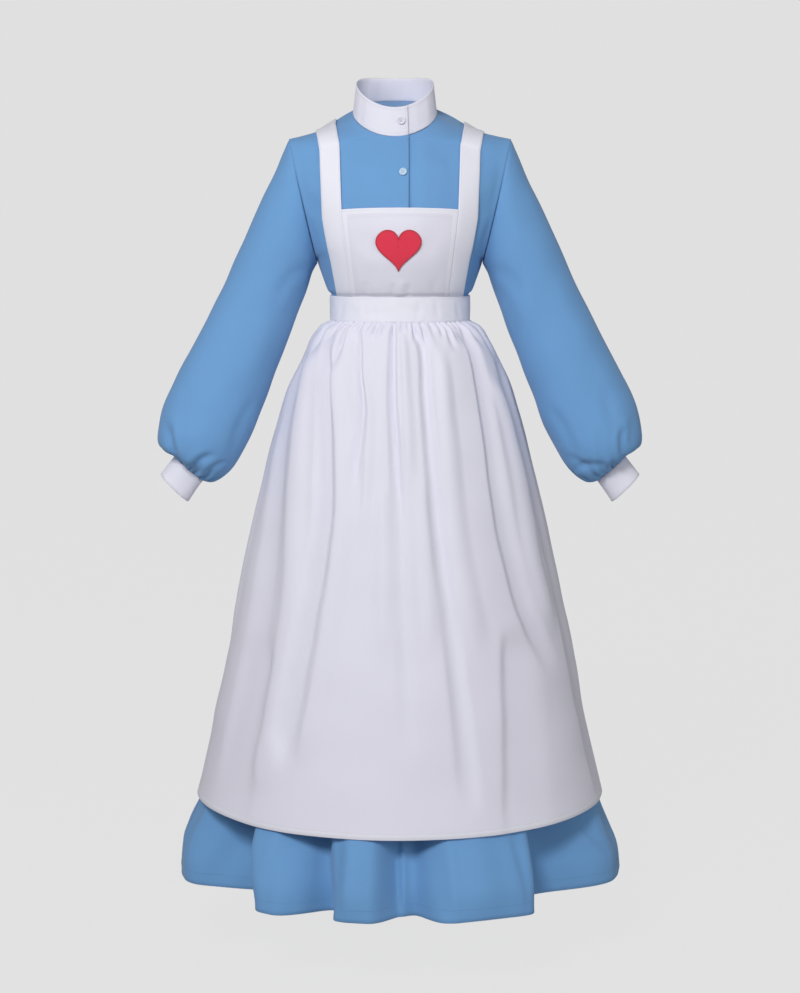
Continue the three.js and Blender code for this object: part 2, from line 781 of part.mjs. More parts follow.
function dressOutline(degrees, z) {
  const half = columnAt(DRESS_LEVELS, "half", z);
  const t = THREE.MathUtils.clamp((z - DRESS_WAIST) / (APRON_HEM - DRESS_WAIST), 0, 1.16);
  const frontAtApronHem = APRON_HEM_FRONT - 0.002;
  const below = smoothstep(APRON_HEM - z, 0, APRON_HEM - DRESS_HEM);
  const front = lerp(DRESS_WAIST_FRONT, frontAtApronHem, Math.min(t, 1))
    + (DRESS_HEM_FRONT - frontAtApronHem) * below;
  const back = lerp(DRESS_WAIST_BACK, DRESS_HEM_BACK, Math.min(t, 1));
  return ovalRadius(degrees, half, half * front, half * back);
}

// The skirt falls into troughs that open from the hip down.
function dressPoint(degrees, z) {
  const down = THREE.MathUtils.clamp((TROUGHS_START - z) / (TROUGHS_START - DRESS_HEM), 0, 1);
  const open = down ** 1.25;
  const below = smoothstep(APRON_HEM - z, 0, APRON_HEM - DRESS_HEM);
  const depth = DRESS_TROUGHS.reduce((sum, fold) => {
    const at = fold.at + (fold.drift ?? 0) * below;
    const offset = THREE.MathUtils.euclideanModulo(degrees - at + 180, 360) - 180;
    return sum + fold.depth * open * trough(offset, fold.before, fold.after);
  }, 0);
  const p = roundPoint(degrees, dressOutline(degrees, z) - depth, z);
  p.z += hemShift(degrees, FRONT_HEM_DROP) * below;
  return p;
}

function dressSkirt(back) {
  const start = back ? 90 : -90;
  const seamY = (back ? SEAM_GAP : -SEAM_GAP) / 2;
  const rowOf = (z, count) => {
    const points = [];
    for (let i = 0; i <= count; i += 1) {
      const p = dressPoint(start + (180 * i) / count, z);
      if (i === 0 || i === count) {
        p.y = seamY;
      }
      if (z === DRESS_WAIST) {
        p.z -= SEAM_GAP / 2;
      }
      points.push(p);
    }
    return points;
  };
  const surface = new Surface();
  const plain = DRESS_PLAIN_LEVELS.map((z) => rowOf(z, DRESS_PLAIN_STEPS));
  const folded = DRESS_FOLD_LEVELS.map((z) => rowOf(z, 2 * DRESS_PLAIN_STEPS));
  surface.grid(plain.slice(0, -1));
  surface.strip(plain[plain.length - 2], folded[0]);
  surface.grid(folded);
  surface.faceAwayFrom(onAxis);
  return surface.wall(CLOTH, (p, n) => {
    if (Math.abs(p.y) < SEAM_GAP) {
      n.y = 0;
    }
    if (Math.abs(p.z - DRESS_WAIST) < SEAM_GAP) {
      n.z = 0;
    }
    return n;
  });
}

// Bodice halves that straps, bib and small pieces lie on
const bodiceHalves = {
  front: { 1: new BodiceHalf(1, false), "-1": new BodiceHalf(-1, false) },
  back: { 1: new BodiceHalf(1, true), "-1": new BodiceHalf(-1, true) },
};

function liftedPoint(half, x, v, lift) {
  return half.pointAt(x, v).addScaledVector(half.normalAt(x, v), lift);
}

// Middle and half width of a strap on a row, as seen from the front or the back
function strapPlace(half, v) {
  const z = half.row(v).middle.z;
  const { waist, bib: chest, shoulder } = STRAP_FRONT;
  const between = (a, b, t) => ({ x: lerp(a.x, b.x, t), half: lerp(a.half, b.half, t) });
  if (half.back) {
    return between(STRAP_BACK_WAIST, shoulder, smoothstep(z, BAND_TOP, NECK_SIDE_Z));
  }
  if (z < BIB_TOP) {
    return between(waist, chest, (z - BAND_TOP) / (BIB_TOP - BAND_TOP));
  }
  const top = half.rowAtHeight(BIB_TOP);
  return between(chest, shoulder, (v - top) / (half.last - top));
}

// Point over the bodice; just above the waistband it moves out level
function overBodice(half, x, v, lift) {
  const n = half.normalAt(x, v);
  if (v < LEVEL_BELOW_ROW) {
    n.setZ(0).normalize();
  }
  return half.pointAt(x, v).addScaledVector(n, lift);
}

function strapRow(half, v, lift) {
  const atShoulder = v === half.last;
  const place = strapPlace(half, v);
  return [-1, -1 / 3, 1 / 3, 1].map((k) => {
    const x = half.side * (place.x + k * place.half);
    const p = overBodice(half, x, v, lift + (atShoulder ? RIDGE_LIFT : 0));
    p.y = atShoulder ? 0 : p.y;
    return p;
  });
}

// Strap from the front of the waistband over the shoulder to its back
function strap(side) {
  const front = bodiceHalves.front[side];
  const back = bodiceHalves.back[side];
  const rowsAt = (lift) => {
    const rows = bodiceStations(front, front.last).map((v) => strapRow(front, v, lift));
    const down = bodiceStations(back, back.last - 1).reverse();
    return [...rows, ...down.map((v) => strapRow(back, v, lift))];
  };
  const surface = new Surface();
  surface.gridBetween(rowsAt(LAYER_GAP + BAND), rowsAt(LAYER_GAP));
  surface.faceAwayFrom((p) => new THREE.Vector3(p.x * 0.8, 0, p.z - 60));
  return surface.wall(BAND);
}

// Row numbers from the top of the waistband up to a last one
function bodiceStations(half, last) {
  const stations = [half.rowAtHeight(BAND_TOP + SEAM_GAP)];
  for (let v = Math.ceil(stations[0] + 0.1); v < last; v += 1) {
    stations.push(v);
  }
  return [...stations, last];
}

// Point of the bib: across from -1 to 1 between the straps, on a row of the bodice
function bibPoint(across, v, lift) {
  const half = bodiceHalves.front[across < 0 ? -1 : 1];
  const place = strapPlace(half, v);
  const edge = place.x - place.half - BIB_GAP;
  return overBodice(half, across * edge, v, lift);
}

function bib() {
  const half = bodiceHalves.front[1];
  const stations = bodiceStations(half, half.rowAtHeight(BIB_TOP));
  const rowsAt = (lift) => stations.map((v, row) => {
    const points = [];
    for (let i = 0; i <= BIB_STEPS; i += 1) {
      const across = lerp(-1, 1, i / BIB_STEPS);
      const raised = row === stations.length - 1 ? BIB_LIFT_AT_SIDES * across * across : 0;
      points.push(bibPoint(across, v + raised, lift));
    }
    return points;
  });
  const surface = new Surface();
  surface.gridBetween(rowsAt(LAYER_GAP + BAND), rowsAt(LAYER_GAP + BAND - CLOTH));
  surface.faceAwayFrom(onAxis);
  return surface.wall(CLOTH);
}

// Heart outline at a share of the turn, in units of its half width
function heartOutline(share) {
  const a = share * 2 * Math.PI;
  const x = Math.sin(a) ** 3;
  const z = (13 * Math.cos(a) - 5 * Math.cos(2 * a) - 2 * Math.cos(3 * a) - Math.cos(4 * a)) / 16;
  return [x, z];
}

function heart() {
  const half = bodiceHalves.front[1];
  const lift = LAYER_GAP + BAND + 0.4 + CLOTH;
  const place = (x, z) => {
    const side = x < 0 ? -1 : 1;
    return liftedPoint(bodiceHalves.front[side], x, half.rowAtHeight(z), lift);
  };
  const rings = [0.02, 0.35, 0.7, 1].map((scale) => {
    const points = [];
    for (let i = 0; i <= HEART.steps; i += 1) {
      const [x, z] = heartOutline((i % HEART.steps) / HEART.steps);
      points.push(place(HEART.x + HEART.half * scale * x, HEART.z + HEART.half * scale * z));
    }
    return points;
  });
  const surface = new Surface();
  const middle = place(HEART.x, HEART.z);
  surface.grid([rings[0].map(() => middle), ...rings.slice(1)]);
  surface.faceAwayFrom(onAxis);
  return surface.wall(CLOTH - 0.4);
}

// Apron waistband: one strip round the waist, lapped at the middle of the back
function waistband() {
  const levels = [
    { z: BAND_TOP, half: 122.2 },
    { z: (BAND_TOP + BAND_BOTTOM) / 2, half: 121.7 },
    { z: BAND_BOTTOM, half: 121.7 },
  ];
  const start = 180 - BAND_LAP / 2;
  const rows = levels.map(({ z, half }) => {
    const points = [];
    for (let i = 0; i <= BAND_STEPS; i += 1) {
      const degrees = start + ((360 + BAND_LAP) * i) / BAND_STEPS;
      const rise = 2.8 * smoothstep(i / BAND_STEPS, 0.84, 0.93);
      const radius = ovalRadius(degrees, half, half - 29.4, half - 34.2);
      points.push(roundPoint(degrees, radius + rise, z));
    }
    return points;
  });
  const surface = new Surface();
  surface.grid(rows);
  surface.faceAwayFrom(onAxis);
  return surface.wall(BAND, (p, n) => {
    n.z = 0;
    return n;
  });
}

// Round button with a raised rim, facing along +Z
function buttonGeometry() {
  const { radius, thick, rim, sides } = BUTTON;
  const profile = [
    [0, 0], [radius - 0.6, 0], [radius, 0.7], [radius, thick - 0.6], [radius - 0.5, thick],
    [radius - rim, thick], [radius - rim - 0.7, thick - 0.9], [0, thick - 0.9],
  ].map(([x, y]) => new THREE.Vector2(x, y));
  const geometry = new THREE.LatheGeometry(profile, sides);
  geometry.rotateX(Math.PI / 2);
  return geometry;
}

function cloth(name, geometry, color, roughness = 0.85) {
  const material = new THREE.MeshStandardMaterial({ color, roughness, metalness: 0 });
  const mesh = new THREE.Mesh(geometry, material);
  mesh.name = name;
  return mesh;
}

// Button placed on a surface point, looking along its normal
function button(name, point, normal, color) {
  const mesh = cloth(name, buttonGeometry(), color, 0.35);
  mesh.position.copy(point.clone().addScaledVector(normal, 0.5));
  mesh.quaternion.setFromUnitVectors(new THREE.Vector3(0, 0, 1), normal);
  return mesh;
}

function bodiceButton() {
  const half = bodiceHalves.front[1];
  const v = half.rowAtHeight(-80);
  return button("button_bodice", half.pointAt(5, v), half.normalAt(5, v), BUTTON_BLUE);
}

function collarButton() {
  const degrees = 368.6;
  const point = collarPoint(degrees, 0.52);
  const along = collarPoint(degrees + 1, 0.52).sub(collarPoint(degrees - 1, 0.52));
  const up = collarPoint(degrees, 1).sub(collarPoint(degrees, 0));
  return button("button_collar", point, along.cross(up).normalize(), WHITE);
}

function waistbandButton() {
  const z = (BAND_TOP + BAND_BOTTOM) / 2;
  const radius = 121.7 - 34.2 + 2.8;
  return button("button_waistband", roundPoint(180, radius, z), new THREE.Vector3(0, 1, 0), WHITE);
}

const dress = new THREE.Group();
dress.add(cloth("bodice_front_right", frontPanel(-1, true), BLUE));
dress.add(cloth("bodice_front_left", frontPanel(1, false), BLUE));
dress.add(cloth("bodice_back", backPanel(), BLUE));
dress.add(cloth("collar", collar(), WHITE));
dress.add(cloth("skirt_front", dressSkirt(false), BLUE));
dress.add(cloth("skirt_back", dressSkirt(true), BLUE));
for (const [name, side] of [["right", -1], ["left", 1]]) {
  dress.add(cloth(`sleeve_${name}`, sleeve(side), BLUE));
  dress.add(cloth(`cuff_${name}`, cuff(side), WHITE));
}
dress.add(bodiceButton());
dress.add(collarButton());

const apron = new THREE.Group();
apron.add(cloth("apron_bib", bib(), WHITE));
apron.add(cloth("applique_heart", heart(), RED));
apron.add(cloth("strap_right", strap(-1), WHITE));
apron.add(cloth("strap_left", strap(1), WHITE));
apron.add(cloth("apron_waistband", waistband(), WHITE));
apron.add(cloth("apron_skirt", apronSkirt(), WHITE));
apron.add(waistbandButton());

const uniform = new THREE.Group();
uniform.add(dress, apron);

export default uniform;
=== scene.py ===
"""A long-sleeved blue nurse uniform dress under a white pinafore apron, filled out and hollow.

Sizes are in millimetres while a surface is worked out and in metres once it is a mesh.
The front faces -Y, +X is the wearer's left, and the origin is between the shoulder seams.
"""
import logging
import math
from dataclasses import dataclass
from enum import Enum
from typing import Callable, Optional, Sequence, Union

import bpy
import numpy as np
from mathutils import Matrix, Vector


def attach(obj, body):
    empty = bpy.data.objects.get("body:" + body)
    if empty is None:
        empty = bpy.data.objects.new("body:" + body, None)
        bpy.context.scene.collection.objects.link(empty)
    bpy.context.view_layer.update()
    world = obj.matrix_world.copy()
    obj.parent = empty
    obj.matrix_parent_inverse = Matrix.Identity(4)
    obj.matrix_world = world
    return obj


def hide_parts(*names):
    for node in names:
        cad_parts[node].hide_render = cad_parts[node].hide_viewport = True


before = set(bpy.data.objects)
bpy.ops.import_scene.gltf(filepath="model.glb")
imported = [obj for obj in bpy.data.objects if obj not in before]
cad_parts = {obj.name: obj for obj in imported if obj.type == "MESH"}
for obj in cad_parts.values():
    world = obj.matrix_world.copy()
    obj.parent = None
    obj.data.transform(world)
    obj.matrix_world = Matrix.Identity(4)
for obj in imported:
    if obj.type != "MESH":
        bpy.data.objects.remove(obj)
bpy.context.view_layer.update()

Array = np.ndarray
Color = tuple[float, float, float]
WHITE = (1.0, 1.0, 1.0, 1.0)
LOG = logging.getLogger("uniform")
MM = 0.001


# Curves and small maths

def smoothstep(value: Array, low: float, high: float) -> Array:
    """Smooth step from 0 at low to 1 at high."""
    t = np.clip((np.asarray(value, float) - low) / (high - low), 0.0, 1.0)
    return t * t * (3.0 - 2.0 * t)


def lerp(start: Array, end: Array, share: Array) -> Array:
    """Straight mix of two values."""
    return start + (end - start) * share


def bell(offset: Array, width: float) -> Array:
    """Bell of height 1 at offset 0."""
    return np.exp(-(offset / width) ** 2)


def trough(offset: Array, before: float, after: float) -> Array:
    """Soft trough: 1 at its middle and 0 at the given distances on its two sides."""
    t = np.abs(offset) / np.where(offset < 0, before, after)
    return np.where(t < 1, 0.5 + 0.5 * np.cos(np.pi * np.minimum(t, 1)), 0.0)


def smooth_path(values: Array, t: Array) -> Array:
    """Smooth curve through rows of values, one at each whole number.

    Args:
        values: rows of any width.
        t: places along the rows, of any shape.

    Returns:
        The values at t, with the row's width as the last axis.
    """
    values = np.asarray(values, float)
    last = len(values) - 1
    t = np.asarray(t, float)
    i = np.clip(np.floor(t).astype(int), 0, last - 1)
    f = (t - i)[..., None]
    p0, p1 = values[np.maximum(i - 1, 0)], values[i]
    p2, p3 = values[i + 1], values[np.minimum(i + 2, last)]
    return 0.5 * (2 * p1 + (p2 - p0) * f + (2 * p0 - 5 * p1 + 4 * p2 - p3) * f ** 2
                  + (3 * p1 - p0 - 3 * p2 + p3) * f ** 3)


def column_at(heights: Sequence[float], values: Sequence[float], z: Array) -> Array:
    """Smooth curve through a table without overshoot.

    Args:
        heights: heights of the table's rows, from the top down.
        values: the column's values.
        z: heights to look up.

    Returns:
        The values at z.
    """
    h = np.asarray(heights, float)
    y = np.asarray(values, float)
    slope = np.diff(y) / np.diff(h)
    both = slope[:-1] * slope[1:]
    mean = np.where(both > 0, 2 * both / np.where(both > 0, slope[:-1] + slope[1:], 1.0), 0.0)
    slopes = np.concatenate([[slope[0]], mean, [slope[-1]]])
    i = np.clip(np.searchsorted(-h, -np.asarray(z, float)) - 1, 0, len(h) - 2)
    span = h[i + 1] - h[i]
    t = np.clip((z - h[i]) / span, 0.0, 1.0)
    return ((2 * t ** 3 - 3 * t ** 2 + 1) * y[i] + (t ** 3 - 2 * t ** 2 + t) * slopes[i] * span
            + (3 * t ** 2 - 2 * t ** 3) * y[i + 1] + (t ** 3 - t ** 2) * slopes[i + 1] * span)


def unit(vectors: Array) -> Array:
    """Vectors of length 1."""
    return vectors / np.maximum(np.linalg.norm(vectors, axis=-1, keepdims=True), 1e-9)


def round_point(degrees: Array, radius: Array, z: Array) -> Array:
    """Points round the vertical axis, with angle 0 at the front and positive towards +X."""
    a = np.radians(degrees)
    return np.stack(np.broadcast_arrays(radius * np.sin(a), -radius * np.cos(a), z), axis=-1)


def oval_radius(degrees: Array, half: Array, front: Array, back: Array) -> Array:
    """Radius of an oval whose front and back depths differ."""
    a = np.radians(degrees)
    depth = np.where(np.cos(a) > 0, front, back)
    return 1.0 / np.hypot(np.sin(a) / half, np.cos(a) / depth)


# Creases, placed one by one

@dataclass(frozen=True)
class Crease:
    """Soft trough or ridge in a flat view of a surface, in that view's units.

    Attributes:
        start: where it begins.
        end: where it ends.
        width: how far it reaches to each side.
        depth: depth in millimetres; below 0 it is a ridge.
        bow: how far its middle bends aside.
        lip: share of the depth that stands up beside it.
    """
    start: tuple[float, float]
    end: tuple[float, float]
    width: float
    depth: float
    bow: float = 0.0
    lip: float = 0.3

    def height(self, a: Array, b: Array) -> Array:
        """Height that it adds at places of the view.

        Args:
            a: first coordinate of each place.
            b: second coordinate of each place.

        Returns:
            Heights in millimetres.
        """
        da, db = self.end[0] - self.start[0], self.end[1] - self.start[1]
        length = math.hypot(da, db)
        along = ((a - self.start[0]) * da + (b - self.start[1]) * db) / length ** 2
        off = ((a - self.start[0]) * db - (b - self.start[1]) * da) / length
        inside = np.clip(along, 0.0, 1.0)
        q = (off - self.bow * 4 * inside * (1 - inside)) / self.width
        ends = smoothstep(along, -0.12, 0.3) * (1 - smoothstep(along, 0.7, 1.12))
        return -self.depth * ends * (np.exp(-q * q) - self.lip * np.exp(-(q - 1.6) ** 2))


def creases(*rows: tuple[float, ...]) -> tuple[Crease, ...]:
    """Creases from rows of start, end, width, depth and perhaps bow."""
    return tuple(Crease(row[:2], row[2:4], *row[4:]) for row in rows)


@dataclass(frozen=True)
class HangingFold:
    """Fold that runs down a skirt along a path of heights and angles.

    Attributes:
        path: rows of height and degrees from the front, from the top down.
        left: reach in degrees towards -X.
        right: reach in degrees towards +X.
        depth: depth in millimetres; below 0 it is a ridge.
        fade: millimetres over which each end fades out.
    """
    path: tuple[tuple[float, float], ...]
    left: float
    right: float
    depth: float
    fade: float = 60.0

    def height(self, degrees: Array, z: Array) -> Array:
        """Height that it adds at places round the skirt.

        Args:
            degrees: angles in degrees from the front, positive towards +X.
            z: heights of the places.

        Returns:
            Heights in millimetres.
        """
        tops = [row[0] for row in self.path]
        at = column_at(tops, [row[1] for row in self.path], z)
        ends = smoothstep(tops[0] - z, -0.3 * self.fade, 0.7 * self.fade)
        ends = ends * (1 - smoothstep(tops[-1] - z, -self.fade, 0.4 * self.fade))
        offset = (degrees - at + 180) % 360 - 180
        return -self.depth * ends * trough(offset, self.left, self.right)


def hanging(*rows: tuple) -> tuple[HangingFold, ...]:
    """Hanging folds from rows of a path, its heights and degrees in turn, and the sizes."""
    return tuple(HangingFold(tuple(zip(row[0][::2], row[0][1::2])), *row[1:]) for row in rows)


def total_height(shapes: Sequence[Union[Crease, HangingFold]], a: Array, b: Array) -> Array:
    """Sum of the heights of several creases or folds."""
    total = np.zeros(np.broadcast(a, b).shape)
    for shape in shapes:
        total = total + shape.height(a, b)
    return total


def spread(down: Array, along: Array) -> Sequence[Array]:
    """Values down the rows and along the columns of one grid."""
    return np.broadcast_arrays(np.asarray(down)[:, None], np.asarray(along)[None, :])


def slow_waves(a: Array, b: Array, size: float, seed: float) -> Array:
    """Gentle unevenness between -1 and 1, made of a few crossing waves.

    Args:
        a: first coordinate.
        b: second coordinate.
        size: length of the longest wave.
        seed: turns and shifts the waves.

    Returns:
        The unevenness at each place.
    """
    total = np.zeros(np.broadcast(a, b).shape)
    for k in range(5):
        turn = seed + 2.4 * k
        scale = size / (1 + 0.35 * k)
        along = (a * math.cos(turn) + b * math.sin(turn)) / scale
        total = total + np.sin(2 * np.pi * along + 1.7 * seed + k * k) / (1 + 0.5 * k)
    return total / 3.0


# Cloth grids and their meshes

@dataclass
class ClothGrid:
    """Outer face of a cloth wall as rows and columns of points.

    Attributes:
        points: the points in millimetres, shape (rows, columns, 3).
        inner: gives for each point the inner place that the surface looks away from.
        closed: whether the last column joins the first.
    """
    points: Array
    inner: Callable[[Array], Array]
    closed: bool = False

    def raw_normals(self) -> Array:
        """Normals before they are turned outwards."""
        p = self.points
        if self.closed:
            across = np.roll(p, -1, axis=1) - np.roll(p, 1, axis=1)
        else:
            across = np.gradient(p, axis=1)
        n = np.cross(across, np.gradient(p, axis=0))
        flat = np.linalg.norm(n, axis=-1) < 1e-7
        for j in range(p.shape[1] - 2, -1, -1):
            n[:, j] = np.where(flat[:, j, None], n[:, j + 1], n[:, j])
        return unit(n)

    def facing(self) -> float:
        """1 if the raw normals point outwards, else -1."""
        out = self.points - self.inner(self.points)
        return 1.0 if np.sum(self.raw_normals() * out) > 0 else -1.0

    def normals(self) -> Array:
        """Normals that point outwards."""
        return self.raw_normals() * self.facing()

    def raised(self, height: Array) -> "ClothGrid":
        """The same grid moved along its normals."""
        moved = self.points + self.normals() * np.asarray(height)[..., None]
        return ClothGrid(moved, self.inner, self.closed)

    def lengths(self) -> tuple[Array, Array]:
        """Lengths along the rows and down the columns in metres, for the weave."""
        p = self.points * MM
        across = np.linalg.norm(np.diff(p, axis=1), axis=-1)
        down = np.linalg.norm(np.diff(p, axis=0), axis=-1)
        u = np.concatenate([np.zeros((len(p), 1)), np.cumsum(across, axis=1)], axis=1)
        v = np.concatenate([np.zeros((1, p.shape[1])), np.cumsum(down, axis=0)], axis=0)
        return u - u[:, [p.shape[1] // 2]], v

    def line(self, place: float, axis: int = 0) -> tuple[Array, Array]:
        """Points and normals along a row, or down a column for axis 1, at any share.

        Args:
            place: number of the row or column.
            axis: 0 for a row and 1 for a column.

        Returns:
            Points and outward normals.
        """
        points, normals = (np.swapaxes(a, 0, axis) for a in (self.points, self.normals()))
        i = int(min(math.floor(place), len(points) - 2))
        share = place - i
        return (lerp(points[i], points[i + 1], share),
                unit(lerp(normals[i], normals[i + 1], share)))


def new_object(name: str, vertices: Array, faces: Sequence[Sequence[int]],
               uvs: Optional[Array] = None) -> bpy.types.Object:
    """Makes a smooth mesh object.

    Args:
        name: name of the object.
        vertices: points in metres.
        faces: corner numbers of each face.
        uvs: one pair for each vertex, or None.

    Returns:
        The new object, linked to the scene.
    """
    mesh = bpy.data.meshes.new(name)
    mesh.from_pydata(np.asarray(vertices).tolist(), [], [list(map(int, f)) for f in faces])
    mesh.polygons.foreach_set("use_smooth", [True] * len(mesh.polygons))
    if uvs is not None:
        corners = np.zeros(len(mesh.loops), int)
        mesh.loops.foreach_get("vertex_index", corners)
        layer = mesh.uv_layers.new(name="UVMap")
        layer.data.foreach_set("uv", np.asarray(uvs, float)[corners].ravel())
    mesh.update()
    piece = bpy.data.objects.new(name, mesh)
    bpy.context.scene.collection.objects.link(piece)
    return piece


def boundary_loops(rows: int, columns: int, closed: bool) -> list[list[tuple[int, int]]]:
    """Grid places round the open edges, in the order that the faces run.

    Args:
        rows: rows of the grid.
        columns: columns of the grid.
        closed: whether the last column joins the first.

    Returns:
        Row and column numbers of each loop.
    """
    top = [(0, j) for j in range(columns)]
    bottom = [(rows - 1, j) for j in reversed(range(columns))]
    if closed:
        return [top, bottom]
    right = [(i, columns - 1) for i in range(1, rows - 1)]
    left = [(i, 0) for i in reversed(range(1, rows - 1))]
    return [top + right + bottom + left]


def cloth_object(name: str, grid: ClothGrid, thickness: float,
                 mask: Optional[Array] = None) -> bpy.types.Object:
    """Makes a closed cloth wall with softly rounded edges.

    Args:
        name: name of the object.
        grid: outer face of the wall.
        thickness: wall thickness in millimetres.
        mask: true for the outer quads that take the second material.

    Returns:
        The new object.
    """
    p = grid.points
    rows, columns = p.shape[:2]
    inner = p - grid.normals() * thickness
    loops = boundary_loops(rows, columns, grid.closed)
    u, v = grid.lengths()
    uv = np.stack([u, v], axis=-1)
    number = np.arange(rows * columns).reshape(rows, columns)
    nxt = np.roll(number, -1, axis=1) if grid.closed else number[:, 1:]
    base = number if grid.closed else number[:, :-1]
    outer_faces = np.stack([base[:-1], nxt[:-1], nxt[1:], base[1:]], axis=-1).reshape(-1, 4)
    inner_faces = outer_faces[:, ::-1] + rows * columns
    faces = [*outer_faces, *inner_faces]
    vertices = [p.reshape(-1, 3), inner.reshape(-1, 3)]
    uvs = [uv.reshape(-1, 2), uv.reshape(-1, 2)]
    count = 2 * rows * columns
    for loop in loops:
        i = np.array([place[0] for place in loop])
        j = np.array([place[1] for place in loop])
        inside_i = np.clip(i, 1, rows - 2)
        inside_j = j if grid.closed else np.clip(j, 1, columns - 2)
        out = unit(p[i, j] - p[inside_i, inside_j])
        vertices.append(0.5 * (p[i, j] + inner[i, j]) + out * thickness * 0.42)
        uvs.append(uv[i, j])
        a = number[i, j]
        b = np.roll(a, -1)
        mid = count + np.arange(len(loop))
        mid_b = np.roll(mid, -1)
        faces += [*np.stack([b, a, mid, mid_b], axis=-1)]
        faces += [*np.stack([mid_b, mid, a + rows * columns, b + rows * columns], axis=-1)]
        count += len(loop)
    if grid.facing() < 0:
        faces = [f[::-1] for f in faces]
    piece = new_object(name, np.concatenate(vertices) * MM, faces, np.concatenate(uvs))
    if mask is not None:
        index = np.zeros(len(faces), int)
        index[:mask.size] = mask.ravel().astype(int)
        piece.data.polygons.foreach_set("material_index", index)
    return piece


def dress(piece: bpy.types.Object, node: Optional[str], slot: str,
          *materials: bpy.types.Material) -> None:
    """Gives a piece its finish and its place in the part.

    Args:
        piece: the new piece.
        node: name of the solid that it stands for, or None.
        slot: the record's material slot; not used.
        materials: materials of its faces.
    """
    for material in materials:
        piece.data.materials.append(material)
    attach(piece, "root")
    if node:
        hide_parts(node)
    LOG.info("%s: %d faces", piece.name, len(piece.data.polygons))


def make_piece(node: str, kind: str, slot: str, grid: ClothGrid, thickness: float,
               *materials: bpy.types.Material, mask: Optional[Array] = None) -> bpy.types.Object:
    """Makes the cloth piece that stands for a solid.

    Args:
        node: name of the solid.
        kind: ending of the piece's name.
        slot: the record's material slot; not used.
        grid: outer face of the wall.
        thickness: wall thickness in millimetres.
        materials: materials of its faces.
        mask: true for the outer quads that take the second material.

    Returns:
        The piece.
    """
    piece = cloth_object(f"{node}_{kind}", grid, thickness, mask)
    dress(piece, node, slot, *materials)
    return piece


@dataclass(frozen=True)
class StitchStyle:
    """Sizes of a row of stitches in millimetres."""
    pitch: float = 2.8
    length: float = 2.1
    radius: float = 0.24


class Stitching:
    """Rows of small thread stitches, joined into one mesh."""

    SIDES = 4
    PROFILE = ((-0.5, 0.35), (-0.34, 0.95), (0.34, 0.95), (0.5, 0.35))

    def __init__(self, name: str, style: StitchStyle = StitchStyle()) -> None:
        """Starts an empty set of rows."""
        self.name = name
        self.style = style
        self.middles: list[Array] = []
        self.frames: list[tuple[Array, Array]] = []

    def add(self, line: tuple[Array, Array], lift: float = 0.06, across: bool = False) -> None:
        """Adds a row of stitches.

        Args:
            line: points and outward normals along the row, in millimetres.
            lift: how far the thread's middle stands off the cloth.
            across: whether the stitches lie across the row.
        """
        points, normals = line
        steps = np.linalg.norm(np.diff(points, axis=0), axis=-1)
        reach = np.concatenate([[0.0], np.cumsum(steps)])
        places = np.arange(0.5 * self.style.pitch, reach[-1], self.style.pitch)

        def at(values: Array, s: Array) -> Array:
            """Values at lengths along the row."""
            return np.stack([np.interp(s, reach, values[:, k]) for k in range(3)], -1)

        middle, up = at(points, places), unit(at(normals, places))
        ahead = unit(at(points, places + 0.4) - at(points, places - 0.4))
        ahead = unit(np.cross(up, ahead)) if across else ahead
        self.middles.append(middle + up * lift)
        self.frames.append((ahead, up))

    def along(self, grid: ClothGrid, rows: Sequence[float] = (),
              columns: Sequence[float] = ()) -> None:
        """Adds stitches along rows and down columns of a grid."""
        for axis, places in enumerate((rows, columns)):
            for place in places:
                self.add(grid.line(place, axis))

    def build(self) -> bpy.types.Object:
        """Makes the joined object."""
        middle = np.concatenate(self.middles)
        ahead = np.concatenate([f[0] for f in self.frames])
        up = np.concatenate([f[1] for f in self.frames])
        side = unit(np.cross(ahead, up))
        angles = np.arange(self.SIDES) * 2 * np.pi / self.SIDES
        rings = []
        for along, size in self.PROFILE:
            for angle in angles:
                reach = size * self.style.radius
                rings.append(middle + ahead * along * self.style.length
                             + side * math.cos(angle) * reach * 1.3 + up * math.sin(angle) * reach)
        vertices = np.stack(rings, axis=1)
        template = []
        for ring in range(len(self.PROFILE) - 1):
            for k in range(self.SIDES):
                a, b = ring * self.SIDES + k, ring * self.SIDES + (k + 1) % self.SIDES
                template.append([a, b, b + self.SIDES, a + self.SIDES])
        starts = np.arange(len(middle)) * vertices.shape[1]
        faces = (starts[:, None, None] + np.array(template)).reshape(-1, 4).tolist()
        top = (len(self.PROFILE) - 1) * self.SIDES
        for start in starts:
            faces.append([start + k for k in reversed(range(self.SIDES))])
            faces.append([start + top + k for k in range(self.SIDES)])
        return new_object(self.name, vertices.reshape(-1, 3) * MM, faces)


# Finishes

@dataclass(frozen=True)
class Finish:
    """Look of a cloth.

    Attributes:
        name: name of the material.
        color: linear base colour.
        shade: how far the colour goes towards dark in slow patches.
        roughness: roughness of the cloth.
        thread: spacing of the weave in metres.
        weave: strength of the weave's bump.
        sheen: weight of the soft sheen at grazing angles.
    """
    name: str
    color: Color
    shade: float = 0.05
    roughness: float = 0.82
    thread: float = 0.0006
    weave: float = 0.25
    sheen: float = 0.12


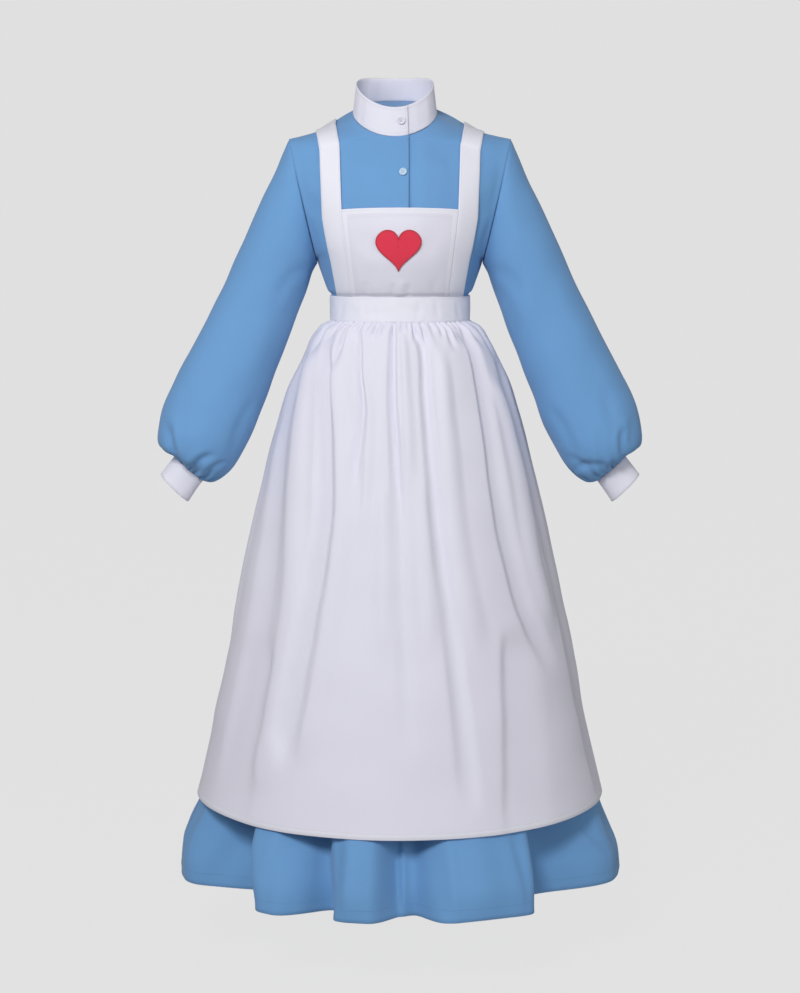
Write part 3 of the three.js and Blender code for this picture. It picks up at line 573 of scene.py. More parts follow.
class Nodes:
    """Small helper that adds linked shader nodes."""

    def __init__(self, tree: bpy.types.NodeTree) -> None:
        """Works on one node tree."""
        self.tree = tree

    def feed(self, node: bpy.types.Node, inputs: dict) -> None:
        """Sets inputs, by number or name, to values or to the sockets that feed them."""
        for key, value in inputs.items():
            if isinstance(value, bpy.types.NodeSocket):
                self.tree.links.new(value, node.inputs[key])
            else:
                node.inputs[key].default_value = value

    def add(self, kind: str, inputs: Optional[dict] = None, **settings) -> bpy.types.Node:
        """Adds a node of Blender's type kind with its inputs and settings.

        Args:
            kind: Blender's name of the node type.
            inputs: input number or name to a value or socket.
            settings: attributes of the node.

        Returns:
            The new node.
        """
        node = self.tree.nodes.new(kind)
        for key, value in settings.items():
            setattr(node, key, value)
        self.feed(node, inputs or {})
        return node

    def math(self, operation: str, *values) -> bpy.types.NodeSocket:
        """Adds a math node and returns its result."""
        return self.add("ShaderNodeMath", dict(enumerate(values)), operation=operation).outputs[0]


def new_group(name: str, ins: Sequence[tuple[str, str, object]],
              outs: Sequence[tuple[str, str]]) -> tuple[bpy.types.NodeTree, Nodes, dict, dict]:
    """Makes a shader node group with named sockets.

    Args:
        name: name of the group.
        ins: name, socket type and default of each input.
        outs: name and socket type of each output.

    Returns:
        The group, its helper, its input sockets and its output sockets.
    """
    group = bpy.data.node_groups.new(name, "ShaderNodeTree")
    for label, kind, default in ins:
        socket = group.interface.new_socket(label, in_out="INPUT", socket_type=kind)
        socket.default_value = default
    for label, kind in outs:
        group.interface.new_socket(label, in_out="OUTPUT", socket_type=kind)
    nodes = Nodes(group)
    first = nodes.add("NodeGroupInput")
    last = nodes.add("NodeGroupOutput")
    return (group, nodes, {s.name: s for s in first.outputs if s.name},
            {s.name: s for s in last.inputs if s.name})


def new_material(name: str) -> tuple[bpy.types.Material, Nodes, bpy.types.Node]:
    """Makes a material and gives it with its node helper and its shader."""
    material = bpy.data.materials.new(name)
    material.use_nodes = True
    return material, Nodes(material.node_tree), material.node_tree.nodes["Principled BSDF"]


def make_weave_group() -> bpy.types.NodeTree:
    """Plain weave: threads that pass over and under each other, a little uneven."""
    group, nodes, ins, outs = new_group(
        "plain_weave",
        [("Thread Spacing", "NodeSocketFloat", 0.0006), ("Slub", "NodeSocketFloat", 0.3)],
        [("Height", "NodeSocketFloat")])
    uv = nodes.add("ShaderNodeUVMap", uv_map="UVMap").outputs[0]
    split = nodes.add("ShaderNodeSeparateXYZ", {0: uv})
    turns = nodes.math("DIVIDE", math.pi, ins["Thread Spacing"])
    a = nodes.math("SINE", nodes.math("MULTIPLY", split.outputs[0], turns))
    b = nodes.math("SINE", nodes.math("MULTIPLY", split.outputs[1], turns))
    crossing = nodes.math("MULTIPLY", a, b)
    stretched = nodes.add("ShaderNodeMapping", {0: uv, "Scale": (900.0, 120.0, 1.0)}).outputs[0]
    slub = nodes.add("ShaderNodeTexNoise", {"Vector": stretched, "Scale": 1.0, "Detail": 2.0})
    uneven = nodes.math("MULTIPLY", slub.outputs[0], ins["Slub"])
    height = nodes.math("ADD", nodes.math("ABSOLUTE", crossing), uneven)
    nodes.tree.links.new(height, outs["Height"])
    return group


def make_tone_and_weave_shade_group() -> bpy.types.NodeTree:
    """Cloth colour that shifts a little in slow patches, with painted shade in the hollows between
    threads.
    """
    group, nodes, ins, outs = new_group(
        "cloth_tone_and_weave_shade",
        [("Color", "NodeSocketColor", (0.5, 0.5, 0.5, 1.0)), ("Shade", "NodeSocketFloat", 0.05),
         ("Thread Height", "NodeSocketFloat", 0.5)],
        [("Color", "NodeSocketColor"), ("Roughness Shift", "NodeSocketFloat")])
    place = nodes.add("ShaderNodeTexCoord").outputs["Object"]
    patch = nodes.add("ShaderNodeTexNoise", {"Vector": place, "Scale": 7.0, "Detail": 3.0})
    fine = nodes.add("ShaderNodeTexNoise", {"Vector": place, "Scale": 260.0, "Detail": 2.0})
    mixed = nodes.math("ADD", nodes.math("MULTIPLY", patch.outputs[0], 0.7),
                       nodes.math("MULTIPLY", fine.outputs[0], 0.3))
    amount = nodes.math("MULTIPLY", mixed, ins["Shade"])
    # painted shade: the colour is darkened where the weave is low, in the hollows between threads
    threads = nodes.math("MULTIPLY", nodes.math("SUBTRACT", 1.0, ins["Thread Height"]), 0.03)
    dark = nodes.math("ADD", amount, threads)
    keep = nodes.math("SUBTRACT", 1.0, dark)
    scaled = nodes.add("ShaderNodeVectorMath", {0: ins["Color"], 1: (1.0, 1.0, 1.0)},
                       operation="MULTIPLY")
    shades = nodes.add("ShaderNodeCombineXYZ", {0: keep, 1: keep, 2: keep}).outputs[0]
    nodes.tree.links.new(shades, scaled.inputs[1])
    nodes.tree.links.new(scaled.outputs[0], outs["Color"])
    nodes.tree.links.new(nodes.math("MULTIPLY", nodes.math("SUBTRACT", mixed, 0.5), 0.12),
                         outs["Roughness Shift"])
    return group


class ClothMaker:
    """Makes the materials of the cloth pieces."""

    def __init__(self) -> None:
        """Makes the shared node groups."""
        self.weave = make_weave_group()
        self.tone = make_tone_and_weave_shade_group()

    def material(self, finish: Finish) -> bpy.types.Material:
        """Makes one cloth material."""
        material, nodes, shader = new_material(finish.name)
        weave = nodes.add("ShaderNodeGroup", {"Thread Spacing": finish.thread},
                          node_tree=self.weave).outputs["Height"]
        # the weave's height also darkens the colour as painted shade between threads
        tone = nodes.add("ShaderNodeGroup", {
            "Color": (*finish.color, 1.0), "Shade": finish.shade, "Thread Height": weave},
            node_tree=self.tone)
        bump = nodes.add("ShaderNodeBump", {
            "Height": weave, "Strength": finish.weave, "Distance": 0.25 * finish.thread})
        nodes.feed(shader, {
            "Base Color": tone.outputs["Color"], "Normal": bump.outputs[0],
            "Roughness": nodes.math("ADD", tone.outputs["Roughness Shift"], finish.roughness),
            "Sheen Weight": finish.sheen, "Sheen Roughness": 0.5, "Specular IOR Level": 0.25})
        return material


DRESS_BLUE = Finish("dress_blue", (0.155, 0.352, 0.655), shade=0.06, sheen=0.15)
APRON_WHITE = Finish("apron_white", (0.765, 0.755, 0.86), shade=0.035, roughness=0.78)
TRIM_WHITE = Finish("trim_white", (0.78, 0.775, 0.875), shade=0.03, roughness=0.74, weave=0.2)
DOUBLE_WHITE = Finish("double_white", (0.82, 0.82, 0.91), shade=0.03, roughness=0.76)
HEART_RED = Finish("heart_red", (0.78, 0.045, 0.085), shade=0.08, roughness=0.9, thread=0.0008,
                   weave=0.4)


def two_tone(nodes: Nodes, pattern: bpy.types.NodeSocket, color: Color,
             dark: float) -> bpy.types.NodeSocket:
    """Colour that a pattern shifts between a darker shade and the full colour."""
    ramp = nodes.add("ShaderNodeValToRGB", {0: pattern})
    for stop, gain in zip(ramp.color_ramp.elements, (dark, 1.0)):
        stop.color = (*[gain * c for c in color], 1.0)
    return ramp.outputs[0]


def gloss_material(name: str, color: Color) -> bpy.types.Material:
    """Polished button material of a linear colour, with faint clouding."""
    material, nodes, shader = new_material(name)
    place = nodes.add("ShaderNodeTexCoord").outputs["Object"]
    cloud = nodes.add("ShaderNodeTexNoise", {"Vector": place, "Scale": 320.0, "Detail": 3.0})
    rough = nodes.math("ADD", nodes.math("MULTIPLY", cloud.outputs[0], 0.12), 0.22)
    nodes.feed(shader, {"Base Color": two_tone(nodes, cloud.outputs[0], color, 0.86),
                        "Roughness": rough, "Coat Weight": 0.4, "Coat Roughness": 0.12})
    return material


def thread_material(name: str, color: Color) -> bpy.types.Material:
    """Sewing thread of a linear colour, with a fine twist."""
    material, nodes, shader = new_material(name)
    place = nodes.add("ShaderNodeTexCoord").outputs["Object"]
    twist = nodes.add("ShaderNodeTexWave", {"Vector": place, "Scale": 900.0, "Distortion": 1.5})
    nodes.feed(shader, {"Base Color": two_tone(nodes, twist.outputs["Fac"], color, 0.8),
                        "Roughness": 0.6, "Sheen Weight": 0.3})
    return material


# Bodice surfaces

class Side(Enum):
    """Side of the body: the wearer's right is at -X."""
    RIGHT = -1
    LEFT = 1

    @property
    def label(self) -> str:
        """Name used in the piece names."""
        return self.name.lower()


@dataclass(frozen=True)
class NeckLine:
    """Neck opening: an oval whose rim rises from front to back."""
    x: float = -8.7
    half: float = 73.0
    depth: float = 61.0
    side_z: float = 22.0
    front_z: float = -19.5
    back_z: float = 45.0

    def height(self, y: Array) -> Array:
        """Height of the neck edge at a depth."""
        t = y / self.depth
        middle = (self.back_z + self.front_z) / 2
        return (middle + (self.back_z - self.front_z) / 2 * t
                + (self.side_z - middle) * (1 - t * t))

    def point(self, degrees: Array) -> Array:
        """Neck edge at an angle from the front middle, positive towards +X."""
        a = np.radians(degrees)
        y = -self.depth * np.cos(a)
        return np.stack([self.x + self.half * np.sin(a), y, self.height(y)], axis=-1)


@dataclass(frozen=True)
class Armhole:
    """Armhole: an oval in a plane that leans out towards the shoulder."""
    z: float = -129.0
    half_height: float = 106.5
    x: float = 167.4
    lean: float = 0.229
    front: float = 55.0
    back: float = 58.0

    def point(self, degrees: Array, side: int, back: bool) -> Array:
        """Point of the oval: 0 at the underarm, 180 at the shoulder tip.

        Args:
            degrees: angles round the oval.
            side: -1 or 1.
            back: whether it is on the back half.

        Returns:
            The points.
        """
        a = np.radians(degrees)
        z = self.z - self.half_height * np.cos(a)
        depth = self.back if back else -self.front
        return np.stack([side * (self.x + self.lean * (z - self.z)), depth * np.sin(a), z], -1)

    def normal(self, side: int) -> Array:
        """Direction out of the armhole."""
        return unit(np.array([side, 0.0, -self.lean]))


NECK = NeckLine()
ARMHOLE = Armhole()


@dataclass(frozen=True)
class PanelRows:
    """Rows of a bodice panel from the waist up.

    Each row holds the depth and height of its middle line, then the half width at the side
    seam or the armhole angle, and how round it is in degrees.
    """
    rows: tuple[tuple[float, float, Optional[float], Optional[float], float], ...]

    @property
    def neck_row(self) -> int:
        """Number of the row that reaches the neck."""
        return len(self.rows) - 1


FRONT = PanelRows((
    (-89, -314, 118.5, None, 90), (-90, -291.5, 119.2, None, 90), (-98, -283, 126, None, 90),
    (-108, -262, 134, None, 90), (-118, -230, None, 0, 90), (-121.5, -200, None, 28, 84),
    (-121, -168, None, 50, 76), (-115, -132, None, 72, 66), (-104, -95, None, 92, 54),
    (-88, -58, None, 110, 42), (-61, -19.5, None, 128, 30),
))
BACK = PanelRows((
    (84, -314, 118.5, None, 90), (85, -291.5, 119.2, None, 90), (90, -283, 126, None, 90),
    (96, -262, 134, None, 90), (102, -228, None, 0, 90), (106, -194, None, 28, 84),
    (109, -152, None, 50, 76), (109, -106, None, 72, 66), (103, -56, None, 92, 54),
    (88, -4, None, 110, 42), (61, 45, None, 128, 30),
))
YOKE_STEPS = 5
YOKE_HOLE = 128
NECK_ARC = 30
SHOULDER_ARC = 14.0
ROW_FALL = 2.0
SHOULDER_FALL = 0.55


class BodiceHalf:
    """Surface of one half of the front or back bodice.

    A place is given by a row number v from the waist up, and by a share u from the middle
    line at 0 to the side seam or armhole at 1.
    """

    def __init__(self, side: int, back: bool) -> None:
        """Works out the rows of the half."""
        self.side = side
        self.back = back
        panel = BACK if back else FRONT
        middles, edges, arcs = [], [], []
        for y, z, half, armhole, arc in panel.rows:
            edge = (np.array([side * half, 0.0, z]) if half is not None
                    else ARMHOLE.point(armhole, side, back))
            middles.append([NECK.x if z == panel.rows[-1][1] else 0.0, y, z])
            edges.append(edge)
            arcs.append(arc)
        self.neck_row = panel.neck_row
        for i in range(1, YOKE_STEPS + 1):
            t = i / YOKE_STEPS
            angle = 180 - 90 * t if back else 90 * t
            middles.append(NECK.point(side * angle))
            edges.append(ARMHOLE.point(lerp(YOKE_HOLE, 180, t), side, back))
            arcs.append(lerp(NECK_ARC, SHOULDER_ARC, t))
        self.last = len(middles) - 1
        self.table = np.concatenate([np.array(middles), np.array(edges),
                                     np.array(arcs, float)[:, None]], axis=1)

    def row(self, v: Array) -> tuple[Array, Array, Array, Array]:
        """Middle point, edge point, arc in radians and power of the fall of rows.

        Args:
            v: row numbers.

        Returns:
            The four values of each row.
        """
        got = smooth_path(self.table, v)
        linear_z = np.interp(v, np.arange(self.last + 1), self.table[:, 2])
        got[..., 2] = np.where(v < 2.0, linear_z, got[..., 2])
        exact = v >= self.neck_row
        share = (v - self.neck_row) / YOKE_STEPS
        angle = 180 - 90 * share if self.back else 90 * share
        got[..., :3] = np.where(exact[..., None], NECK.point(self.side * angle), got[..., :3])
        hole = ARMHOLE.point(lerp(YOKE_HOLE, 180, share), self.side, self.back)
        got[..., 3:6] = np.where(exact[..., None], hole, got[..., 3:6])
        t = np.clip((v - self.neck_row + 0.6) / (YOKE_STEPS + 0.6), 0, 1)
        fall = lerp(ROW_FALL, SHOULDER_FALL, 1 - (1 - t) ** 3 * (1 + 3 * t))
        return got[..., :3], got[..., 3:6], np.radians(got[..., 6]), fall

    def at(self, u: Array, v: Array) -> Array:
        """Points at shares u of rows v.

        Args:
            u: shares from the middle line to the side.
            v: row numbers.

        Returns:
            The points.
        """
        middle, edge, arc, fall = self.row(v)
        across = np.sin(u * arc) / np.sin(arc)
        depth = (1 - np.cos(u * arc)) / (1 - np.cos(arc))
        return np.stack([lerp(middle[..., 0], edge[..., 0], across),
                         lerp(middle[..., 1], edge[..., 1], depth),
                         lerp(middle[..., 2], edge[..., 2], np.abs(u) ** fall)], axis=-1)

    def share_at(self, x: Array, v: Array) -> Array:
        """Share of rows v that reaches a distance x from the middle plane."""
        middle, edge, arc, _ = self.row(v)
        across = (x - middle[..., 0]) / (edge[..., 0] - middle[..., 0])
        return np.arcsin(np.clip(across * np.sin(arc), -1, 1)) / arc

    def at_x(self, x: Array, v: Array) -> Array:
        """Points at distances x from the middle plane, on rows v."""
        x, v = np.broadcast_arrays(np.asarray(x, float), np.asarray(v, float))
        return self.at(self.share_at(x, v), v)

    def normal_at_x(self, x: Array, v: Array) -> Array:
        """Outward normals at distances x on rows v.

        Args:
            x: distances along X.
            v: row numbers.

        Returns:
            Vectors of length 1.
        """
        x, v = np.broadcast_arrays(np.asarray(x, float), np.asarray(v, float))
        up = self.at_x(x, np.minimum(v + 0.05, self.last)) - self.at_x(x, np.maximum(v - 0.05, 0))
        across = self.at_x(x + 1, v) - self.at_x(x - 1, v)
        n = unit(np.cross(across, up))
        return -n if self.back else n

    def row_at_height(self, z: Array) -> Array:
        """Row number whose middle line is at a height."""
        v = np.linspace(0, self.last, 1501)
        return np.interp(z, self.row(v)[0][..., 2], v)


HALVES = {(side, back): BodiceHalf(side, back) for side in (-1, 1) for back in (False, True)}


def on_axis(points: Array) -> Array:
    """Places on the vertical axis at the heights of points."""
    return points * np.array([0.0, 0.0, 1.0])


def front_mask(grid: ClothGrid) -> Array:
    """1 where a grid faces the front and 0 where it faces the back."""
    return smoothstep(-grid.normals()[..., 1], -0.15, 0.35)


@dataclass(frozen=True)
class BodiceSizes:
    """Sizes of the bodice in millimetres."""
    cloth: float = 1.1
    lap_x: float = 15.0
    lap_drop: float = 4.4
    ease: float = 26.0
    rows: int = 121
    columns: int = 52
    lap_columns: int = 8
    hem_fold: float = 0.8


# Creases of the front as seen from in front, then of the back.
FRONT_CREASES = creases(
    (-14, -44, -17, -58, 3.2, 1.2), (-60, -40, -100, -66, 14, 1.3, 4),
    (52, -42, 96, -70, 15, 1.2, -4), (-152, -120, -118, -232, 13, 2.4, -6),
    (-166, -150, -132, -246, 8, 1.8, -4), (-150, -205, -108, -286, 9, 2.2, 4),
    (150, -118, 116, -236, 13, 2.4, 6), (164, -156, 130, -250, 8, 1.8, 4),
    (150, -208, 106, -288, 9, 2.2, -4), (-132, -222, -122, -292, 6, 1.5),
    (133, -226, 123, -292, 6, 1.5), (-178, -60, -160, -150, 10, 1.4, 3),
    (176, -62, 160, -156, 10, 1.5, -3), (-70, -96, -24, -128, 16, -0.9),
    (30, -92, 74, -124, 16, -0.8),
)
BACK_CREASES = creases(
    (-150, -96, -112, -226, 14, 2.6, -7), (148, -104, 110, -232, 14, 2.5, 7),
    (-30, -214, -44, -288, 11, 2.2, 3), (22, -196, 38, -288, 12, 2.4, -4),
    (2, -232, -3, -290, 7, 1.7), (-92, -232, -84, -290, 8, 1.8, 3),
    (90, -226, 82, -290, 8, 1.9, -3), (-58, 8, -20, -40, 15, 1.4, 5),
    (44, 6, 18, -44, 15, 1.3, -5), (-120, -30, -60, -74, 18, -1.1, 5),
    (118, -34, 58, -80, 18, -1.1, -5), (-164, -140, -128, -246, 8, 2.0, -4),
    (163, -146, 128, -250, 8, 2.0, 4),
)


@dataclass
class Bodice:
    """Two lapped fronts and one back."""

    sizes: BodiceSizes = BodiceSizes()

    def soft_height(self, points: Array, fade: Array, creases: Sequence[Crease],
                    seed: float) -> Array:
        """Creases and slow unevenness, faded out at seams."""
        x, z = points[..., 0], points[..., 2]
        waves = 0.9 * slow_waves(x, z, 95.0, seed)
        return (total_height(creases, x, z) + waves) * fade

    def seam_fade(self, u: Array, v: Array, neck_row: float, last: float) -> Array:
        """1 inside a panel and 0 along its seams, so that neighbours still meet."""
        at_neck = smoothstep(v, neck_row - 1, neck_row) * (1 - smoothstep(u, 0.0, 0.14))
        return (smoothstep(1 - u, 0.0, 0.08) * smoothstep(v, 0.2, 1.6)
                * smoothstep(last - v, 0.0, 0.6) * (1 - at_neck))

    def front_grid(self, side: Side) -> ClothGrid:
        """Outer face of one front, with its placket past the middle.

        Args:
            side: which front.

        Returns:
            The grid, with the lap in its first columns.
        """
        size = self.sizes
        half = HALVES[side.value, False]
        v_main, u = spread(np.linspace(0, half.last, size.rows),
                           np.linspace(0, 1, size.columns))
        v = v_main[:, :1]
        main = half.at(u, v_main)
        first = main[:, :1]
        shares = np.linspace(1, 0, size.lap_columns + 1)[None, :-1]
        x = lerp(first[..., 0], -side.value * size.lap_x, shares)
        low = np.broadcast_to(np.minimum(v, half.neck_row), x.shape)
        neck = NECK.point(np.degrees(np.arcsin(np.clip((x - NECK.x) / NECK.half, -1, 1))))
        near = smoothstep(low, half.neck_row - 1, half.neck_row)[..., None]
        lap = lerp(half.at_x(x, low), neck, near)
        lap = np.where((v > half.neck_row)[..., None], first, lap)
        points = np.concatenate([lap, main], axis=1)
        if side is Side.LEFT:
            past = points[..., 0]
            points[..., 1] += size.lap_drop * (1 - smoothstep(past, size.lap_x + 3,
                                                              size.lap_x + 3 + size.ease))
        grid = ClothGrid(points, on_axis)
        shares_u = np.concatenate([np.zeros_like(x), u], axis=1)
        shares_v = np.broadcast_to(v, shares_u.shape)
        fade = self.seam_fade(shares_u, shares_v, half.neck_row, half.last)
        seed = 0.7 if side is Side.RIGHT else 2.9
        return grid.raised(self.soft_height(points, fade, FRONT_CREASES, seed))

    def back_grid(self) -> ClothGrid:
        """Outer face of the back."""
        size = self.sizes
        half = HALVES[1, True]
        v, u = spread(np.linspace(0, half.last, size.rows), np.linspace(0, 1, size.columns))
        right, left = (HALVES[side, True].at(u, v) for side in (-1, 1))
        points = np.concatenate([right[:, :0:-1], left], axis=1)
        u = np.concatenate([u[:, :0:-1], u], axis=1)
        v = np.broadcast_to(v[:, :1], u.shape)
        fade = self.seam_fade(u, v, half.neck_row, half.last)
        grid = ClothGrid(points, on_axis)
        return grid.raised(self.soft_height(points, fade, BACK_CREASES, 4.4))

    def build(self, cloth: ClothMaker) -> dict[str, ClothGrid]:
        """Makes the three panels.

        Args:
            cloth: maker of the materials.

        Returns:
            The grids by node name, for the seams that lie on them.
        """
        grids = {f"bodice_front_{side.label}": self.front_grid(side) for side in Side}
        grids["bodice_back"] = self.back_grid()
        material = cloth.material(DRESS_BLUE)
        for node, grid in grids.items():
            make_piece(node, "cloth", "dress_cloth", grid, self.sizes.cloth, material)
        return grids


# Collar

@dataclass(frozen=True)
class CollarSizes:
    """Sizes of the collar band in millimetres and degrees."""
    top_half: float = 67.4
    top_front: float = 55.0
    top_back: float = 57.0
    side_z: float = 72.0
    front_z: float = 30.0
    back_z: float = 83.0
    under_end: float = -5.0
    over_end: float = 378.5
    lift: float = 1.0
    lap_drop: float = 3.0
    cloth: float = 1.9
    rows: int = 18
    columns: int = 260


@dataclass
class Collar:
    """Stand collar: one band round the neck whose front end lies over its other end."""

    CREASES = creases(
        (36, 0.1, 52, 0.9, 7, 0.5), (300, 0.0, 312, 0.8, 9, 0.6), (338, 0.15, 349, 0.95, 7, 0.5),
        (150, 0.1, 166, 0.9, 10, 0.7), (205, 0.9, 222, 0.1, 10, 0.7), (86, 0.2, 98, 0.9, 9, 0.7),
        (262, 0.15, 274, 0.95, 9, 0.6),
    )

    sizes: CollarSizes = CollarSizes()

    def surface(self, degrees: Array, share: Array) -> Array:
        """Points of the band: share 0 at the neck seam and 1 at the top edge.

        Args:
            degrees: angles in degrees from the front, positive towards +X.
            share: shares of the way up.

        Returns:
            The points.
        """
        size = self.sizes
        a = np.radians(degrees)
        base = NECK.point(degrees)
        ahead = np.cos(a)
        top_y = -ahead * np.where(ahead > 0, size.top_front, size.top_back)
        middle = (size.front_z + size.back_z) / 2
        top_z = (middle - (size.back_z - size.front_z) / 2 * ahead
                 + (size.side_z - middle) * (1 - ahead ** 2))
        top = np.stack([NECK.x + size.top_half * np.sin(a), top_y, top_z], axis=-1)
        base[..., 2] += size.lift
        points = lerp(base, top, share[..., None])
        drop = size.lap_drop * (1 - smoothstep(degrees, 24, 60))
        points[..., 0] -= drop * np.sin(a)
        points[..., 1] += drop * np.cos(a)
        return points

    def grid(self) -> ClothGrid:
        """Outer face of the band, a little uneven, with turned edges."""
        size = self.sizes
        share, degrees = spread(np.linspace(1, 0, size.rows),
                                np.linspace(size.under_end, size.over_end, size.columns))
        grid = ClothGrid(self.surface(degrees, share),
                         lambda p: p * np.array([0, 0, 1]) + np.array([NECK.x, 0, 0]))
        inside = smoothstep(share, 0.02, 0.14) * (1 - smoothstep(share, 0.86, 0.98))
        ends = smoothstep(degrees, size.under_end, 6) * (1 - smoothstep(degrees, 371, 378))
        bow = 0.5 * np.sin(np.pi * share) * (1 - smoothstep(degrees, 340, 352))
        soft = total_height(self.CREASES, degrees, share) * inside
        waves = 0.35 * slow_waves(degrees, share * 40, 70.0, 1.3) * inside
        return grid.raised((soft + waves + bow - 0.35 * inside) * ends)

    def build(self, cloth: ClothMaker, stitches: Stitching) -> None:
        """Makes the band and its edge stitching."""
        grid = self.grid()
        make_piece("collar", "band", "trim_cloth", grid, self.sizes.cloth,
                   cloth.material(TRIM_WHITE))
        stitches.along(grid, (1.4, self.sizes.rows - 2.6), (self.sizes.columns - 3.2,))


# Sleeves and cuffs

@dataclass(frozen=True)
class ArmRing:
    """Ring of a sleeve: its outer and underarm points seen from in front, and its depths."""
    out_x: float
    out_z: float
    in_x: float
    in_z: float
    front: float
    back: float
    middle_y: float


@dataclass(frozen=True)
class CuffSizes:
    """Sizes of a cuff in millimetres and degrees."""
    top_out: tuple[float, float] = (392.0, -574.0)
    top_in: tuple[float, float] = (345.0, -615.0)
    end_out: tuple[float, float] = (417.0, -606.0)
    end_in: tuple[float, float] = (371.0, -652.0)
    half: float = 25.0
    wrist_y: float = -20.0
    lap_start: float = 150.0
    lap_turn: float = 385.0
    lap_rise: float = 2.6
    cloth: float = 1.5
    rows: int = 14
    columns: int = 150


@dataclass(frozen=True)
class SleeveSizes:
    """Sizes of a sleeve in millimetres."""
    rings: tuple[ArmRing, ...] = tuple(ArmRing(*row) for row in (
        (191.8, -22.5, 143.0, -235.5, 55, 58, 0), (215, -76, 149, -246, 62, 64, 0),
        (240, -127, 156, -260, 64, 66, 0), (276, -205, 169, -300, 64, 66, 0),
        (312, -283, 190, -356, 66, 68, -1.1), (349, -356, 213, -416, 70, 72, -4.0),
        (385, -423, 236, -476, 75, 76, -8.0), (411, -478, 256, -526, 79, 79, -12.2),
        (422, -522, 276, -565, 78, 78, -16), (421, -552, 298, -598, 66, 66, -18.8),
        (401, -565, 325, -616, 44, 44, -20), (392.6, -573.2, 343.8, -615.6, 25.5, 25.5, -20),
    ))
    cloth: float = 1.1
    rows: int = 140
    columns: int = 150
    seam: float = 0.4


def arm_points(rings: Array, w: Array, a: Array) -> Array:
    """Points of a sleeve on the +X side.

    Args:
        rings: the ring table as numbers.
        w: ring numbers.
        a: angles, 0 at the underarm and pi at the outer line, below pi at the front.

    Returns:
        The points.
    """
    got = smooth_path(rings, w)
    share = 0.5 - 0.5 * np.cos(a)
    depth = np.where(np.sin(a) > 0, got[..., 4], got[..., 5])
    return np.stack([lerp(got[..., 2], got[..., 0], share), got[..., 6] - depth * np.sin(a),
                     lerp(got[..., 3], got[..., 1], share)], axis=-1)


# Creases of each sleeve's front and back, at distances from the body's middle plane.
SLEEVE_FRONT = {
    Side.RIGHT: creases(
        (399, -512, 389, -574, 7, 6.5, -3), (366, -600, 322, -562, 8, 5.2, 5),
        (409, -500, 402, -548, 8, 1.6), (340, -604, 300, -576, 6, 2.6, 4),
        (160, -238, 214, -306, 14, 3.0, -8), (158, -262, 196, -352, 13, 2.4, -7),
        (206, -96, 236, -196, 18, 1.8, 8), (254, -470, 296, -578, 9, 2.6, -6),
        (256, -246, 300, -402, 24, 1.6, 12), (318, -392, 362, -530, 22, 1.8, -10),
        (368, -440, 384, -516, 12, 1.5), (228, -330, 268, -430, 18, -1.4, 8),
    ),
    Side.LEFT: creases(
        (302, -590, 366, -590, 9, 5.0, -7), (385, -516, 388, -572, 7, 5.4, 3),
        (402, -498, 399, -552, 8, 2.0), (330, -608, 290, -566, 7, 2.8, 5),
        (161, -240, 210, -300, 14, 2.8, -8), (160, -266, 200, -364, 14, 2.6, -7),
        (208, -90, 232, -184, 18, 1.6, 8), (258, -480, 306, -580, 9, 2.6, -6),
        (250, -230, 288, -390, 26, 1.8, 12), (300, -372, 352, -520, 22, 1.6, -10),
        (352, -448, 374, -540, 12, 2.2), (340, -520, 352, -588, 8, 2.0),
    ),
}
SLEEVE_BACK = creases(
    (162, -236, 210, -310, 15, 3.0, -8), (250, -240, 222, -330, 20, 2.0, 8),
    (296, -300, 246, -352, 18, 2.6, 6), (310, -330, 270, -392, 16, 2.2, 6),
    (396, -510, 388, -572, 7, 3.2), (366, -600, 330, -556, 7, 3.2, 5),
    (260, -470, 302, -578, 10, 2.6, -6), (340, -420, 372, -540, 16, 2.0, -8),
    (214, -100, 240, -200, 18, 1.7, 8),
)


